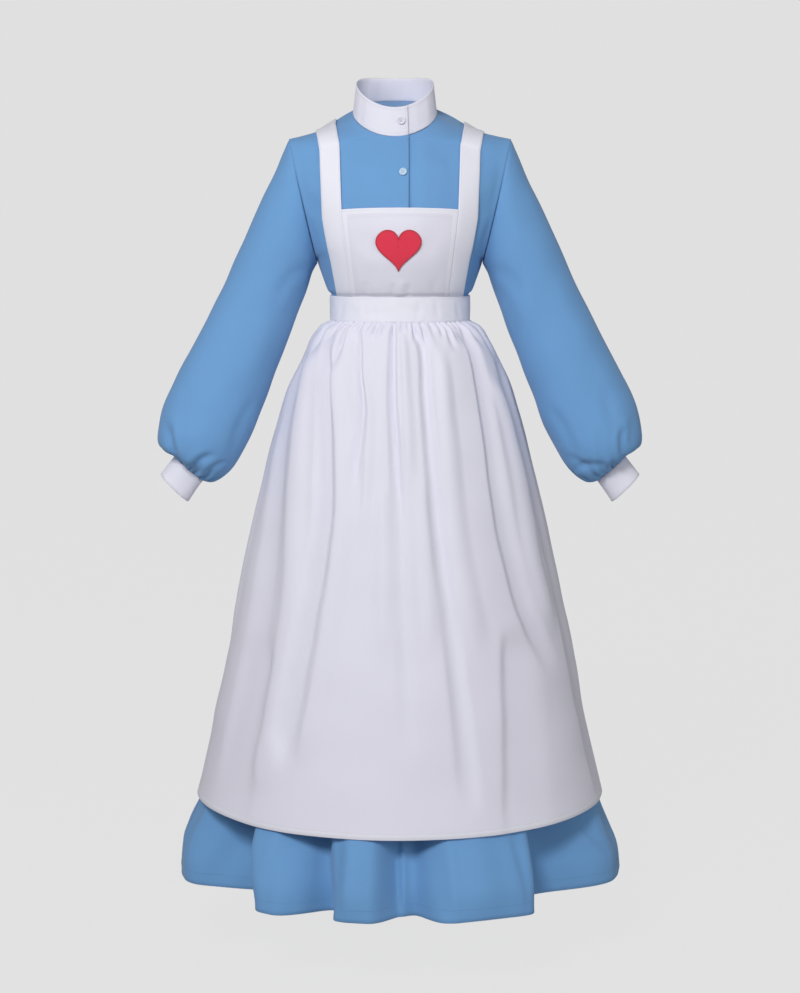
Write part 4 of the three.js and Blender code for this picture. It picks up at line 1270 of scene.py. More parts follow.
class Sleeve:
    """Long sleeve gathered into a lapped cuff."""

    GATHERS = 17

    def __init__(self, side: Side, sizes: SleeveSizes = SleeveSizes(),
                 cuff: CuffSizes = CuffSizes()) -> None:
        """Keeps the side and the sizes."""
        self.side = side
        self.sizes = sizes
        self.cuff_sizes = cuff
        self.rings = np.array([[r.out_x, r.out_z, r.in_x, r.in_z, r.front, r.back, r.middle_y]
                               for r in sizes.rings], float)

    def row_places(self) -> Array:
        """Ring numbers of the rows, evenly spaced down the sleeve and closer at the wrist."""
        w = np.linspace(0, len(self.rings) - 1, 600)
        got = smooth_path(self.rings, w)
        steps = np.hypot(np.diff(got[:, 0]), np.diff(got[:, 1]))
        steps = steps + np.hypot(np.diff(got[:, 2]), np.diff(got[:, 3]))
        weight = 1 + 1.3 * smoothstep(w[1:], 7.5, 9.5)
        reach = np.concatenate([[0.0], np.cumsum(steps * weight)])
        return np.interp(np.linspace(0, reach[-1], self.sizes.rows), reach, w)

    def gather_height(self, w: Array, a: Array) -> Array:
        """Small gathers that fan out from the wrist, uneven in width, depth and length.

        Args:
            w: ring numbers.
            a: angles round the sleeve.

        Returns:
            Heights in millimetres.
        """
        total = np.zeros(np.broadcast(w, a).shape)
        seed = 0.9 if self.side is Side.RIGHT else 2.3
        for k in range(self.GATHERS):
            uneven = math.sin(2.7 * k + seed) + 0.5 * math.sin(5.3 * k + 2 * seed)
            at = (k + 0.5 + 0.16 * uneven) * 2 * math.pi / self.GATHERS
            width = 0.085 + 0.02 * math.cos(1.9 * k + seed)
            start = 8.35 - 0.55 * uneven
            grow = smoothstep(w, start, 10.2)
            spread = width * (1 + 0.8 * (1 - grow))
            offset = (a - at + math.pi) % (2 * math.pi) - math.pi
            near = 1 - 0.5 * smoothstep(w, 10.55, 11.0)
            total = total - (3.9 + 0.9 * uneven) * grow * near * bell(offset, spread)
            total = total + 1.4 * grow * near * bell(offset - 2.1 * spread, spread)
        return total

    def grid(self) -> ClothGrid:
        """Outer face of the sleeve."""
        size = self.sizes
        side = self.side.value
        w, a = spread(self.row_places(), np.arange(size.columns) * 2 * math.pi / size.columns)
        points = arm_points(self.rings, w, a)
        points = points + ARMHOLE.normal(1) * (size.seam * (1 - smoothstep(w, 0, 0.5)))[..., None]
        middle = points.mean(axis=1, keepdims=True)
        centre = np.broadcast_to(middle, points.shape) * np.array([side, 1, 1])
        points = points * np.array([side, 1, 1])
        grid = ClothGrid(points, lambda p: centre, closed=True)
        facing = front_mask(grid)
        x, z = np.abs(points[..., 0]), points[..., 2]
        seed = 3.3 if self.side is Side.RIGHT else 5.9
        folds = total_height(SLEEVE_FRONT[self.side], x, z) * facing
        folds = folds + total_height(SLEEVE_BACK, x, z) * (1 - facing)
        waves = 1.5 * slow_waves(x, z + 0.6 * points[..., 1], 120.0, seed)
        fade = smoothstep(w, 0.05, 0.9) * (1 - smoothstep(w, 10.0, 11.0))
        height = (folds + waves) * fade + self.gather_height(w, a)
        cap = -0.8 * bell(w, 0.06)
        return grid.raised(height + cap)

    def cuff_grid(self) -> ClothGrid:
        """Outer face of the cuff band."""
        size = self.cuff_sizes
        share, turn = spread(np.linspace(0, 1, size.rows), np.linspace(0, 1, size.columns))
        a = np.radians(size.lap_start + size.lap_turn * turn)
        ends = [np.array(pair) for pair in (size.top_out, size.end_out, size.top_in, size.end_in)]
        outer = lerp(ends[0], ends[1], share[..., None])
        inner = lerp(ends[2], ends[3], share[..., None])
        rise = 1 + size.lap_rise / size.half * smoothstep(turn, 0.72, 0.9)
        t = (0.5 - 0.5 * np.cos(a) * rise)[..., None]
        line = lerp(inner, outer, t)
        y = size.wrist_y - size.half * np.sin(a) * rise
        points = np.stack([self.side.value * line[..., 0], y, line[..., 1]], axis=-1)
        centre = points[:, : int(size.columns * 360 / size.lap_turn)].mean(axis=1, keepdims=True)
        grid = ClothGrid(points, lambda p: np.broadcast_to(centre, p.shape))
        inside = np.sin(np.pi * share) * smoothstep(turn, 0, 0.06) * (1 - smoothstep(turn, 0.94, 1))
        soft = 0.55 * slow_waves(turn * 160, share * 45, 42.0, 2.0 + self.side.value)
        return grid.raised((soft - 0.5) * inside)

    def build(self, cloth: ClothMaker, stitches: Stitching) -> None:
        """Makes the sleeve and its cuff."""
        label = self.side.label
        make_piece(f"sleeve_{label}", "cloth", "dress_cloth", self.grid(), self.sizes.cloth,
                   cloth.material(DRESS_BLUE))
        cuff = self.cuff_grid()
        make_piece(f"cuff_{label}", "band", "trim_cloth", cuff, self.cuff_sizes.cloth,
                   cloth.material(TRIM_WHITE))
        stitches.along(cuff, (0.9, self.cuff_sizes.rows - 1.9), (self.cuff_sizes.columns - 2.6,))


# Dress skirt

def hem_shift(degrees: Array, front_drop: float) -> Array:
    """How far a hem rises at the sides and drops at the front."""
    a = np.radians(degrees)
    return 10.0 * np.sin(a) ** 6 - front_drop * np.maximum(0.0, np.cos(a))


DRESS_WAIST = -314.0
DRESS_HEM = -1318.0
APRON_WAIST = -333.6
APRON_HEM = -1184.0
BAND_TOP = -292.8
BAND_BOTTOM = -335.5


@dataclass(frozen=True)
class OpeningTrough:
    """Trough of the dress skirt that opens from the hip towards the hem, in degrees."""
    at: float
    before: float
    after: float
    depth: float
    drift: float = 0.0


@dataclass(frozen=True)
class DressSkirtSizes:
    """Sizes of the dress skirt in millimetres; levels are heights and half widths."""
    levels: tuple[tuple[float, float], ...] = (
        (-314, 118.5), (-336, 117), (-345, 124), (-354, 131), (-388, 151), (-423, 167),
        (-493, 191), (-564, 211), (-741, 253), (-849, 277), (-993, 308), (-1138, 341.5),
        (-1184, 354.5), (-1239, 377), (-1283, 391), (-1318, 393.5),
    )
    troughs: tuple[OpeningTrough, ...] = tuple(OpeningTrough(*row) for row in (
        (-150, 18, 11, 78), (-112, 12, 18, 62), (-62.5, 20, 14, 90, 6.5), (-28, 14, 6, 66, 3),
        (5, 15, 9, 60), (54.5, 13, 24, 86, -3), (106, 13, 16, 60), (141, 12, 15, 74),
        (174, 16, 14, 66),
    ))
    folds: tuple[HangingFold, ...] = hanging(
        ((-1080, -51, -1318, -55), 6, 5, 9), ((-1150, -82, -1318, -86), 5, 6, 9),
        ((-1060, -14, -1318, -15), 6, 7, -6), ((-1080, 24, -1318, 25), 8, 8, -5),
        ((-1080, -2, -1330, -1), 8, 3, 20), ((-1080, 12, -1330, 13), 5, 4, 13),
        ((-1080, -23, -1330, -21), 5, 6, 16), ((-1080, -66, -1330, -68), 4, 6, 14),
        ((-1080, 46, -1330, 47), 7, 8, 9), ((-1150, 38, -1318, 39), 3, 5, 5),
        ((-1120, 66, -1270, 74), 3, 4, 7), ((-1140, 82, -1318, 84), 5, 6, 6),
        ((-1150, -38, -1318, -40), 4, 6, 5), ((-900, 98, -1318, 100), 6, 8, 7),
        ((-1000, 126, -1318, 128), 6, 6, -7), ((-950, 158, -1318, 157), 6, 8, -8),
        ((-1000, -172, -1318, -174), 7, 7, -7), ((-1000, -132, -1318, -131), 7, 7, -7),
        ((-1100, -96, -1318, -97), 5, 6, -6), ((-500, 160, -1100, 158), 8, 7, 8),
        ((-480, -164, -1100, -160), 7, 8, 8), ((-340, 171, -560, 172), 4, 4, 4),
        ((-340, -176, -620, -177), 4, 5, 5), ((-340, -166, -520, -167), 4, 4, 4),
    )
    waist_front: float = 0.751
    hem_front: float = 0.84
    apron_hem_front: float = 0.818
    waist_back: float = 0.709
    hem_back: float = 0.792
    troughs_start: float = -560.0
    front_drop: float = 6.0
    cloth: float = 1.1
    rows: int = 120
    columns: int = 200


@dataclass
class DressSkirt:
    """Full skirt in a front and a back panel, with seams at the sides."""

    sizes: DressSkirtSizes = DressSkirtSizes()

    def outline(self, degrees: Array, z: Array) -> Array:
        """Radius before the folds."""
        size = self.sizes
        half = column_at([row[0] for row in size.levels], [row[1] for row in size.levels], z)
        t = np.clip((z - DRESS_WAIST) / (APRON_HEM - DRESS_WAIST), 0, 1)
        below = smoothstep(APRON_HEM - z, 0, APRON_HEM - DRESS_HEM)
        front = (lerp(size.waist_front, size.apron_hem_front, t)
                 + (size.hem_front - size.apron_hem_front) * below)
        back = lerp(size.waist_back, size.hem_back, t)
        return oval_radius(degrees, half, half * front, half * back)

    def surface(self, degrees: Array, z: Array) -> Array:
        """Points of the outer face.

        Args:
            degrees: angles in degrees from the front, positive towards +X.
            z: heights before the hem shifts.

        Returns:
            The points.
        """
        size = self.sizes
        down = np.clip((size.troughs_start - z) / (size.troughs_start - DRESS_HEM), 0, 1)
        depth = np.zeros(np.broadcast(degrees, z).shape)
        below = smoothstep(APRON_HEM - z, 0, APRON_HEM - DRESS_HEM)
        for fold in size.troughs:
            offset = (degrees - fold.at - fold.drift * below + 180) % 360 - 180
            depth = depth + fold.depth * down ** 1.25 * trough(offset, fold.before, fold.after)
        radius = self.outline(degrees, z) - depth
        shown = smoothstep(APRON_HEM + 40 - z, 0, 90)
        apart = smoothstep(np.abs((degrees + 180) % 360 - 180), 152, 160)
        radius = radius + total_height(size.folds, degrees, z) * np.maximum(shown, apart)
        radius = radius + 3.0 * slow_waves(degrees * 4.5, z, 260.0, 2.2) * shown
        points = round_point(degrees, radius, z)
        wave = 1.6 * np.sin(np.radians(degrees) * 9 + 0.7)
        points[..., 2] += (hem_shift(degrees, size.front_drop) - wave) * below
        return points

    def grid(self, back: bool) -> ClothGrid:
        """Outer face of one panel."""
        size = self.sizes
        start = 90.0 if back else -90.0
        seam = 0.15 if back else -0.15
        z = lerp(DRESS_WAIST - 0.15, DRESS_HEM, np.linspace(0, 1, size.rows) ** 0.9)
        z, degrees = spread(z, start + np.linspace(0, 180, size.columns))
        points = self.surface(degrees, z)
        points[:, 0, 1] = seam
        points[:, -1, 1] = seam
        return ClothGrid(points, on_axis)

    def build(self, cloth: ClothMaker, seams: Stitching) -> list[bpy.types.Object]:
        """Makes both panels, and gives the front one first."""
        made = []
        for node, back in (("skirt_front", False), ("skirt_back", True)):
            grid = self.grid(back)
            made.append(make_piece(node, "cloth", "dress_cloth", grid, self.sizes.cloth,
                                   cloth.material(DRESS_BLUE)))
            seams.along(grid, (self.sizes.rows - 3.7,))
        return made


# Apron skirt

@dataclass(frozen=True)
class Gather:
    """Small gather below the waistband: place and reach in degrees, length and depth in mm."""
    at: float
    reach: float
    length: float
    depth: float
    lean: float = 0.0


@dataclass(frozen=True)
class ApronSkirtSizes:
    """Sizes of the apron skirt in millimetres; levels are height, half width and fold room."""
    levels: tuple[tuple[float, float, float], ...] = (
        (-333.6, 119.4, 0.15), (-337, 124, 2.6), (-345, 137, 9.5), (-354, 145, 11.5),
        (-388, 165.5, 12), (-423, 181.5, 12), (-493, 205, 11.5), (-564, 225, 11.5),
        (-741, 267, 11.5), (-849, 290, 11), (-993, 320, 9.5), (-1138, 350, 5.5),
        (-1184, 361.5, 3.5),
    )
    front_gathers: tuple[Gather, ...] = tuple(Gather(*row) for row in (
        (-86, 2.4, 60, 6), (-79, 1.6, 20, 3), (-72, 2.4, 66, 7, 3), (-66, 1.5, 18, 3),
        (-61, 2.2, 34, 7), (-55, 1.5, 16, 3), (-49.5, 2.1, 90, 8, 4), (-44, 1.3, 16, 3),
        (-39, 2.0, 30, 7), (-30.5, 1.6, 18, 3), (-23.5, 2.0, 30, 9), (-15, 1.5, 22, 3),
        (-6.2, 2.0, 36, 8, 1.0), (2.3, 1.4, 20, 4), (7.5, 1.3, 14, 2.5), (13.5, 1.5, 32, 8),
        (21.5, 1.9, 50, 8, 2), (30, 1.5, 16, 3), (37.5, 1.6, 26, 7), (42, 1.6, 44, 7, 2),
        (49, 1.7, 30, 8), (54, 1.3, 14, 3), (58.5, 1.9, 60, 8, 3), (66, 1.8, 34, 7),
        (71, 1.3, 14, 3), (76.5, 2.2, 60, 7, 2), (84, 2.0, 30, 5),
    ))
    folds: tuple[HangingFold, ...] = hanging(
        ((-380, -72, -494, -64, -637, -56, -838, -49, -1015, -49, -1120, -50), 6, 9, -9),
        ((-380, -84, -494, -77, -637, -68, -838, -61, -1120, -62), 10, 8, 11),
        ((-380, -57, -549, -42, -674, -37, -866, -39, -1060, -43), 8, 4.5, 14),
        ((-390, -49.5, -549, -35, -674, -30.5, -866, -32, -1060, -36), 3.5, 9, -9),
        ((-345, -36, -489, -23.5, -600, -24), 5, 3, 8),
        ((-400, -29, -489, -19, -660, -18), 3, 5, -4),
        ((-336, -5.5, -464, -4, -540, -2, -640, 0), 6, 2.8, 15, 90),
        ((-600, 0, -762, 1, -927, 3, -1042, 4), 6, 4, 5, 120),
        ((-345, 2, -464, 3.5, -600, 5), 3.5, 6, -5),
        ((-338, 14, -390, 19, -464, 17.5, -664, 19, -830, 22, -1128, 25), 6, 4, 10),
        ((-381, 31, -506, 28, -673, 27, -764, 28, -881, 32), 6, 8, -6),
        ((-338, 51, -383, 57, -442, 55, -636, 51, -806, 54, -915, 62), 5, 8, 13),
        ((-427, 66, -513, 69, -599, 68, -726, 66, -857, 69), 7, 7, -8),
        ((-400, 80, -600, 79, -857, 82, -1184, 83), 8, 9, 10),
        ((-600, -9, -700, -8, -877, -7), 6, 5, -4), ((-600, 11, -700, 12, -878, 13), 5, 5, -4),
        ((-860, 46, -1054, 41, -1184, 38), 5, 16, 9), ((-880, -58, -1184, -59), 14, 9, 8),
        ((-345, 108, -1050, 106), 8, 8, 9), ((-345, 130, -1184, 132), 8, 8, 9),
        ((-420, 95, -1000, 94), 6, 6, -5), ((-420, 120, -1100, 119), 7, 6, -6),
        ((-345, -104, -1100, -100), 8, 8, 9), ((-345, -128, -1184, -126), 9, 8, 9),
        ((-420, -116, -1100, -113), 7, 6, -6), ((-420, -92, -900, -86), 7, 6, -5),
        ((-500, -142, -1184, -141), 6, 6, -4), ((-480, 143, -1184, 143), 6, 6, -4),
    )
    edge: float = 151.0
    shift_start: float = -930.0
    front_drop: float = 5.0
    waist_front: float = 0.752
    hem_front: float = 0.82
    waist_back: float = 0.716
    hem_back: float = 0.8
    cloth: float = 1.1
    rows: int = 150
    columns: int = 320


class ApronSkirt:
    """Gathered apron skirt, open at the back."""

    def __init__(self, sizes: ApronSkirtSizes = ApronSkirtSizes()) -> None:
        """Keeps the sizes."""
        self.sizes = sizes
        self.gathers = (*sizes.front_gathers, *self.side_gathers())

    def side_gathers(self) -> list[Gather]:
        """Gathers beyond the front ones, uneven in the same way."""
        made = []
        for side in (-1, 1):
            for k in range(11):
                uneven = math.sin(2.1 * k + side) + 0.5 * math.sin(4.7 * k)
                made.append(Gather(side * (92 + 5.7 * k + 1.1 * uneven), 2.0 + 0.3 * uneven,
                                   44 + 24 * uneven, 6 + 1.5 * uneven, 1.5 * uneven))
        return made

    def outline(self, degrees: Array, z: Array) -> Array:
        """Radius before the folds."""
        size = self.sizes
        half = column_at([row[0] for row in size.levels], [row[1] for row in size.levels], z)
        t = np.clip((z - BAND_BOTTOM) / (APRON_HEM - BAND_BOTTOM), 0, 1)
        return oval_radius(degrees, half, half * lerp(size.waist_front, size.hem_front, t),
                           half * lerp(size.waist_back, size.hem_back, t))

    def gather_height(self, degrees: Array, z: Array) -> Array:
        """Gathers: a narrow crease with a small ridge beside it."""
        below = APRON_WAIST - z
        total = np.zeros(np.broadcast(degrees, z).shape)
        for g in self.gathers:
            fade = 1 - smoothstep(below, 0.25 * g.length, 1.25 * g.length)
            at = g.at + g.lean * below / g.length * 0.5
            width = g.reach * (0.62 + 0.8 * np.clip(below / g.length, 0, 1))
            offset = degrees - at
            total = total - g.depth * fade * (bell(offset, width)
                                              - 0.4 * bell(offset - 2.1 * width, 1.3 * width)
                                              - 0.3 * bell(offset + 2.1 * width, 1.3 * width))
        return total

    def surface(self, degrees: Array, z: Array) -> Array:
        """Points of the outer face.

        Args:
            degrees: angles in degrees from the front, positive towards +X.
            z: heights before the hem shifts.

        Returns:
            The points.
        """
        size = self.sizes
        wanted = self.gather_height(degrees, z) + total_height(size.folds, degrees, z)
        wanted = wanted + 2.2 * slow_waves(degrees * 4.2, z, 210.0, 1.1)
        room = column_at([row[0] for row in size.levels], [row[2] for row in size.levels], z)
        room = np.where(wanted < 0, room, 0.8 * room)
        held = room * np.tanh(wanted / room)
        points = round_point(degrees, self.outline(degrees, z) + held, z)
        low = smoothstep(size.shift_start - z, 0, size.shift_start - APRON_HEM)
        points[..., 2] += hem_shift(degrees, size.front_drop) * low
        return points

    def grid(self) -> ClothGrid:
        """Outer face of the apron skirt."""
        size = self.sizes
        degrees = np.interp(np.linspace(-1, 1, size.columns), (-1, -0.75, 0.75, 1),
                            (-size.edge, -90, 90, size.edge))
        share = np.linspace(0, 1, size.rows)
        z, degrees = spread(lerp(APRON_WAIST, APRON_HEM, 0.35 * share + 0.65 * share ** 1.9),
                            degrees)
        return ClothGrid(self.surface(degrees, z), on_axis)

    def build(self, cloth: ClothMaker, stitches: Stitching) -> bpy.types.Object:
        """Makes the apron skirt with its narrow hem, and gives the piece."""
        grid = self.grid()
        rows, columns = grid.points.shape[:2]
        mask = np.zeros((rows - 1, columns - 1), bool)
        mask[-1:, :] = True
        piece = make_piece("apron_skirt", "cloth", "apron_cloth", grid, self.sizes.cloth,
                           cloth.material(APRON_WHITE), cloth.material(DOUBLE_WHITE), mask=mask)
        stitches.along(grid, (rows - 2.0,), (1.6, columns - 2.6))
        return piece


# Bib, straps and waistband of the apron

@dataclass(frozen=True)
class StrapPlace:
    """Middle and half width of a strap at one height."""
    x: float
    half: float


@dataclass(frozen=True)
class ApronTopSizes:
    """Sizes of the bib and the straps in millimetres."""
    lift: float = 3.2
    bib_top: float = -141.0
    waist: StrapPlace = StrapPlace(94.0, 12.5)
    chest: StrapPlace = StrapPlace(115.0, 16.5)
    shoulder: StrapPlace = StrapPlace(128.0, 17.0)
    back_waist: StrapPlace = StrapPlace(82.0, 14.5)
    gap: float = 0.4
    bib_cloth: float = 1.3
    strap_cloth: float = 1.8
    border: float = 9.5
    bib_height: float = 152.0
    bib_width: float = 190.0
    side_rise: float = 0.14
    bib_rows: int = 76
    bib_columns: int = 96
    strap_rows: int = 130
    strap_columns: int = 16


APRON_TOP = ApronTopSizes()


def strap_place(half: BodiceHalf, v: Array) -> tuple[Array, Array]:
    """Middle distance and half width of a strap on rows of a bodice half.

    Args:
        half: half of the bodice that it lies on.
        v: row numbers.

    Returns:
        Middle distances and half widths.
    """
    size = APRON_TOP
    z = half.row(v)[0][..., 2]
    if half.back:
        t = smoothstep(z, BAND_TOP, NECK.side_z)
        return (lerp(size.back_waist.x, size.shoulder.x, t),
                lerp(size.back_waist.half, size.shoulder.half, t))
    top = half.row_at_height(size.bib_top)
    low = np.clip((z - BAND_TOP) / (size.bib_top - BAND_TOP), 0, 1)
    high = np.clip((v - top) / (half.last - top), 0, 1)
    below = v < top
    x = np.where(below, lerp(size.waist.x, size.chest.x, low),
                 lerp(size.chest.x, size.shoulder.x, high))
    width = np.where(below, lerp(size.waist.half, size.chest.half, low),
                     lerp(size.chest.half, size.shoulder.half, high))
    return x, width


def over_bodice(half: BodiceHalf, x: Array, v: Array, lift: float) -> Array:
    """Points over the bodice; just above the waistband they move out level."""
    n = half.normal_at_x(x, v)
    level = unit(n * np.array([1.0, 1.0, 0.0]))
    n = unit(lerp(level, n, smoothstep(np.broadcast_to(v, x.shape), 0.9, 2.2)[..., None]))
    return half.at_x(x, v) + n * lift


class Bib:
    """Bib between the straps, with a stitched facing along its top and sides."""

    CREASES = creases(
        (1, -291, 3, -262, 7, -1.3), (-14, -292, -11, -268, 5, 1.1), (17, -292, 14, -270, 5, 1.0),
        (-62, -292, -58, -266, 8, 1.0), (60, -292, 57, -262, 8, 1.1),
        (-70, -172, -30, -226, 16, 1.1, 5), (66, -166, 34, -222, 17, 1.0, -5),
        (-40, -150, 38, -153, 9, 0.8), (-74, -230, -64, -286, 9, -0.9),
    )

    def grid(self) -> ClothGrid:
        """Outer face of the bib, with the facing slightly raised."""
        size = APRON_TOP
        half = HALVES[1, False]
        low, high = half.row_at_height(BAND_TOP + 0.3), half.row_at_height(size.bib_top)
        share, across = spread(np.linspace(1, 0, size.bib_rows),
                               np.linspace(-1, 1, size.bib_columns))
        v = lerp(low, high, share) + size.side_rise * across ** 2 * smoothstep(share, 0.8, 1)
        sides = []
        for sign in (-1, 1):
            other = HALVES[sign, False]
            middle, width = strap_place(other, v)
            x = across * (middle - width - size.gap)
            sides.append(over_bodice(other, x, v, size.lift))
        points = np.where((across < 0)[..., None], sides[0], sides[1])
        points = self.rounded(points)
        grid = ClothGrid(points, on_axis)
        x, z = points[..., 0], points[..., 2]
        inside = smoothstep(1 - np.abs(across), 0.0, 0.1) * smoothstep(share, 0.0, 0.05)
        soft = total_height(self.CREASES, x, z) + 0.5 * slow_waves(x, z, 80.0, 6.1)
        return grid.raised(soft * inside + 0.35 * self.facing_share(points))

    @staticmethod
    def rounded(points: Array) -> Array:
        """Evens out the middle line, where the two halves meet."""
        for _ in range(6):
            points[:, 1:-1] = 0.5 * points[:, 1:-1] + 0.25 * (points[:, 2:] + points[:, :-2])
        return points

    @staticmethod
    def facing_share(points: Array) -> Array:
        """1 on the facing along the top and the sides, and 0 inside it."""
        across = np.linalg.norm(np.diff(points, axis=1), axis=-1).cumsum(axis=1)
        across = np.concatenate([np.zeros((len(points), 1)), across], axis=1)
        from_side = np.minimum(across, across[:, -1:] - across)
        down = np.linalg.norm(np.diff(points, axis=0), axis=-1).cumsum(axis=0)
        from_top = np.concatenate([np.zeros((1, points.shape[1])), down], axis=0)
        near = np.minimum(from_side, from_top)
        return 1 - smoothstep(near, APRON_TOP.border - 0.8, APRON_TOP.border + 0.8)

    def build(self, cloth: ClothMaker, stitches: Stitching) -> None:
        """Makes the bib and the stitching of its facing."""
        grid = self.grid()
        facing = self.facing_share(grid.points) > 0.5
        mask = facing[:-1, :-1] & facing[1:, 1:]
        make_piece("apron_bib", "cloth", "apron_cloth", grid, APRON_TOP.bib_cloth,
                   cloth.material(APRON_WHITE), cloth.material(DOUBLE_WHITE), mask=mask)
        down = APRON_TOP.border / APRON_TOP.bib_height * (APRON_TOP.bib_rows - 1)
        aside = APRON_TOP.border / APRON_TOP.bib_width * (APRON_TOP.bib_columns - 1)
        points, normals = grid.line(down)
        inside = slice(int(aside) + 1, -int(aside) - 1)
        stitches.add((points[inside], normals[inside]))
        stitches.add(grid.line(1.2))
        for column in (aside, APRON_TOP.bib_columns - 1 - aside):
            points, normals = grid.line(column, 1)
            stitches.add((points[int(down) + 1:], normals[int(down) + 1:]))


@dataclass
class Strap:
    """Strap from the front of the waistband over the shoulder to its back."""

    side: Side

    def grid(self) -> ClothGrid:
        """Outer face of the strap."""
        size = APRON_TOP
        sign = self.side.value
        across = np.linspace(-1, 1, size.strap_columns)[None, :]
        parts = []
        for back, share in ((False, 0.52), (True, 0.48)):
            half = HALVES[sign, back]
            low = half.row_at_height(BAND_TOP + 0.3)
            count = int(size.strap_rows * share)
            v = np.linspace(low, half.last, count)
            v = (v[::-1][1:] if back else v)[:, None]
            middle, width = strap_place(half, v)
            x = sign * (middle + across * width)
            parts.append(over_bodice(half, x, np.broadcast_to(v, x.shape), size.lift))
        parts[0][-1, :, 1] = 0.0
        parts[0][-1, :, 2] += 0.8
        points = np.concatenate(parts, axis=0)
        near = smoothstep(-np.abs(np.arange(len(points)) - len(parts[0]) + 1), -9, -5)[:, None, None]
        for _ in range(8):
            even = points.copy()
            even[1:-1] = 0.5 * points[1:-1] + 0.25 * (points[2:] + points[:-2])
            points = lerp(points, even, near)
        inner = np.array([0.8, 0.0, 1.0])
        grid = ClothGrid(points, lambda p: p * inner - np.array([0.0, 0.0, 60.0]))
        edge = 1 - np.abs(np.linspace(-1, 1, size.strap_columns))[None, :] ** 6
        rows = np.arange(len(points))[:, None]
        ends = smoothstep(rows, 0, 5) * smoothstep(len(points) - 1 - rows, 0, 5)
        waves = 0.55 * slow_waves(rows * 3.4, across * 17, 64.0, 1.9 + sign)
        return grid.raised((0.35 + waves) * edge * ends)

    def build(self, cloth: ClothMaker, stitches: Stitching) -> None:
        """Makes the strap and the stitching along both of its edges."""
        node = f"strap_{self.side.label}"
        grid = self.grid()
        make_piece(node, "cloth", "apron_cloth", grid, APRON_TOP.strap_cloth,
                   cloth.material(DOUBLE_WHITE))
        stitches.along(grid, (), (0.9, APRON_TOP.strap_columns - 1.9))


@dataclass(frozen=True)
class WaistbandSizes:
    """Sizes of the waistband in millimetres and degrees."""
    top_half: float = 122.2
    half: float = 121.7
    front_less: float = 29.4
    back_less: float = 34.2
    lap: float = 18.0
    rise: float = 2.8
    cloth: float = 1.8
    rows: int = 22
    columns: int = 330


@dataclass
class Waistband:
    """Apron waistband: one band round the waist, lapped at the middle of the back."""

    CREASES = creases(
        (-58, -297, -62, -333, 5, 0.9), (-30, -297, -27, -333, 6, 0.7),
        (33, -297, 30, -333, 5, 0.8), (61, -296, 66, -334, 5, 1.0), (96, -297, 102, -334, 4, 1.0),
        (-96, -297, -104, -334, 4, 1.0), (0, -308, 44, -322, 7, 0.6),
        (-50, -322, -8, -316, 7, 0.5),
    )

    sizes: WaistbandSizes = WaistbandSizes()

    def grid(self) -> ClothGrid:
        """Outer face of the band."""
        size = self.sizes
        share, turn = spread(np.linspace(0, 1, size.rows), np.linspace(0, 1, size.columns))
        degrees = 180 - size.lap / 2 + (360 + size.lap) * turn
        z = lerp(BAND_TOP, BAND_BOTTOM, share)
        half = lerp(size.top_half, size.half, np.minimum(1.0, 2 * share))
        radius = oval_radius(degrees, half, half - size.front_less, half - size.back_less)
        radius = radius + size.rise * smoothstep(turn, 0.84, 0.93)
        grid = ClothGrid(round_point(degrees, radius, z), on_axis)
        x = grid.points[..., 0]
        inside = np.sin(np.pi * share) ** 0.6
        ends = smoothstep(turn, 0, 0.02) * smoothstep(1 - turn, 0, 0.02)
        facing = front_mask(grid)
        soft = total_height(self.CREASES, x, z) * facing
        soft = soft + 0.5 * slow_waves(degrees * 2.1, z, 46.0, 3.7)
        return grid.raised((soft + 0.7) * inside * ends)

    def build(self, cloth: ClothMaker, stitches: Stitching) -> None:
        """Makes the band and its edge stitching."""
        grid = self.grid()
        make_piece("apron_waistband", "band", "apron_cloth", grid, self.sizes.cloth,
                   cloth.material(DOUBLE_WHITE))
        stitches.along(grid, (1.1, self.sizes.rows - 2.1), (self.sizes.columns - 3.4,))


# Small pieces

@dataclass(frozen=True)
class HeartSizes:
    """Sizes of the heart appliqué in millimetres."""
    x: float = -2.5
    z: float = -206.0
    half: float = 38.0
    lift: float = 5.15
    cloth: float = 1.0
    rings: int = 16
    steps: int = 128


@dataclass
class Heart:
    """Heart cut from red cloth and sewn on with a dense edge."""

    sizes: HeartSizes = HeartSizes()

    def grid(self) -> ClothGrid:
        """Outer face of the heart, on the bib."""
        size = self.sizes
        t = (np.arange(size.steps) * 2 * np.pi / size.steps)[None, :]
        scale = np.linspace(1.0, 0.02, size.rings)[:, None]
        across = scale * np.sin(t) ** 3
        up = scale * (13 * np.cos(t) - 5 * np.cos(2 * t) - 2 * np.cos(3 * t) - np.cos(4 * t)) / 16
        x, z = size.x + size.half * across, size.z + size.half * up
        half = HALVES[1, False]
        v = half.row_at_height(z)
        left = HALVES[-1, False]
        points = np.where((x < 0)[..., None], left.at_x(x, v) + left.normal_at_x(x, v) * size.lift,
                          half.at_x(x, v) + half.normal_at_x(x, v) * size.lift)
        grid = ClothGrid(points, on_axis, closed=True)
        edge = smoothstep(1 - scale, 0.0, 0.05) + 0 * across
        waves = 0.25 * slow_waves(x, z, 34.0, 5.2)
        return grid.raised((0.3 + waves) * edge)

    def build(self, cloth: ClothMaker) -> None:
        """Makes the heart and its edge of satin stitches."""
        grid = self.grid()
        piece = cloth_object("heart_cloth", grid, self.sizes.cloth)
        dress(piece, "applique_heart", "red_felt", cloth.material(HEART_RED))
        satin = Stitching("heart_edge_stitches", StitchStyle(0.62, 2.6, 0.34))
        points, normals = grid.line(0.35)
        line = np.concatenate([points, points[:1]]), np.concatenate([normals, normals[:1]])
        satin.add(line, across=True)
        dress(satin.build(), None, "red_felt", thread_material("red_thread", (0.6, 0.03, 0.06)))


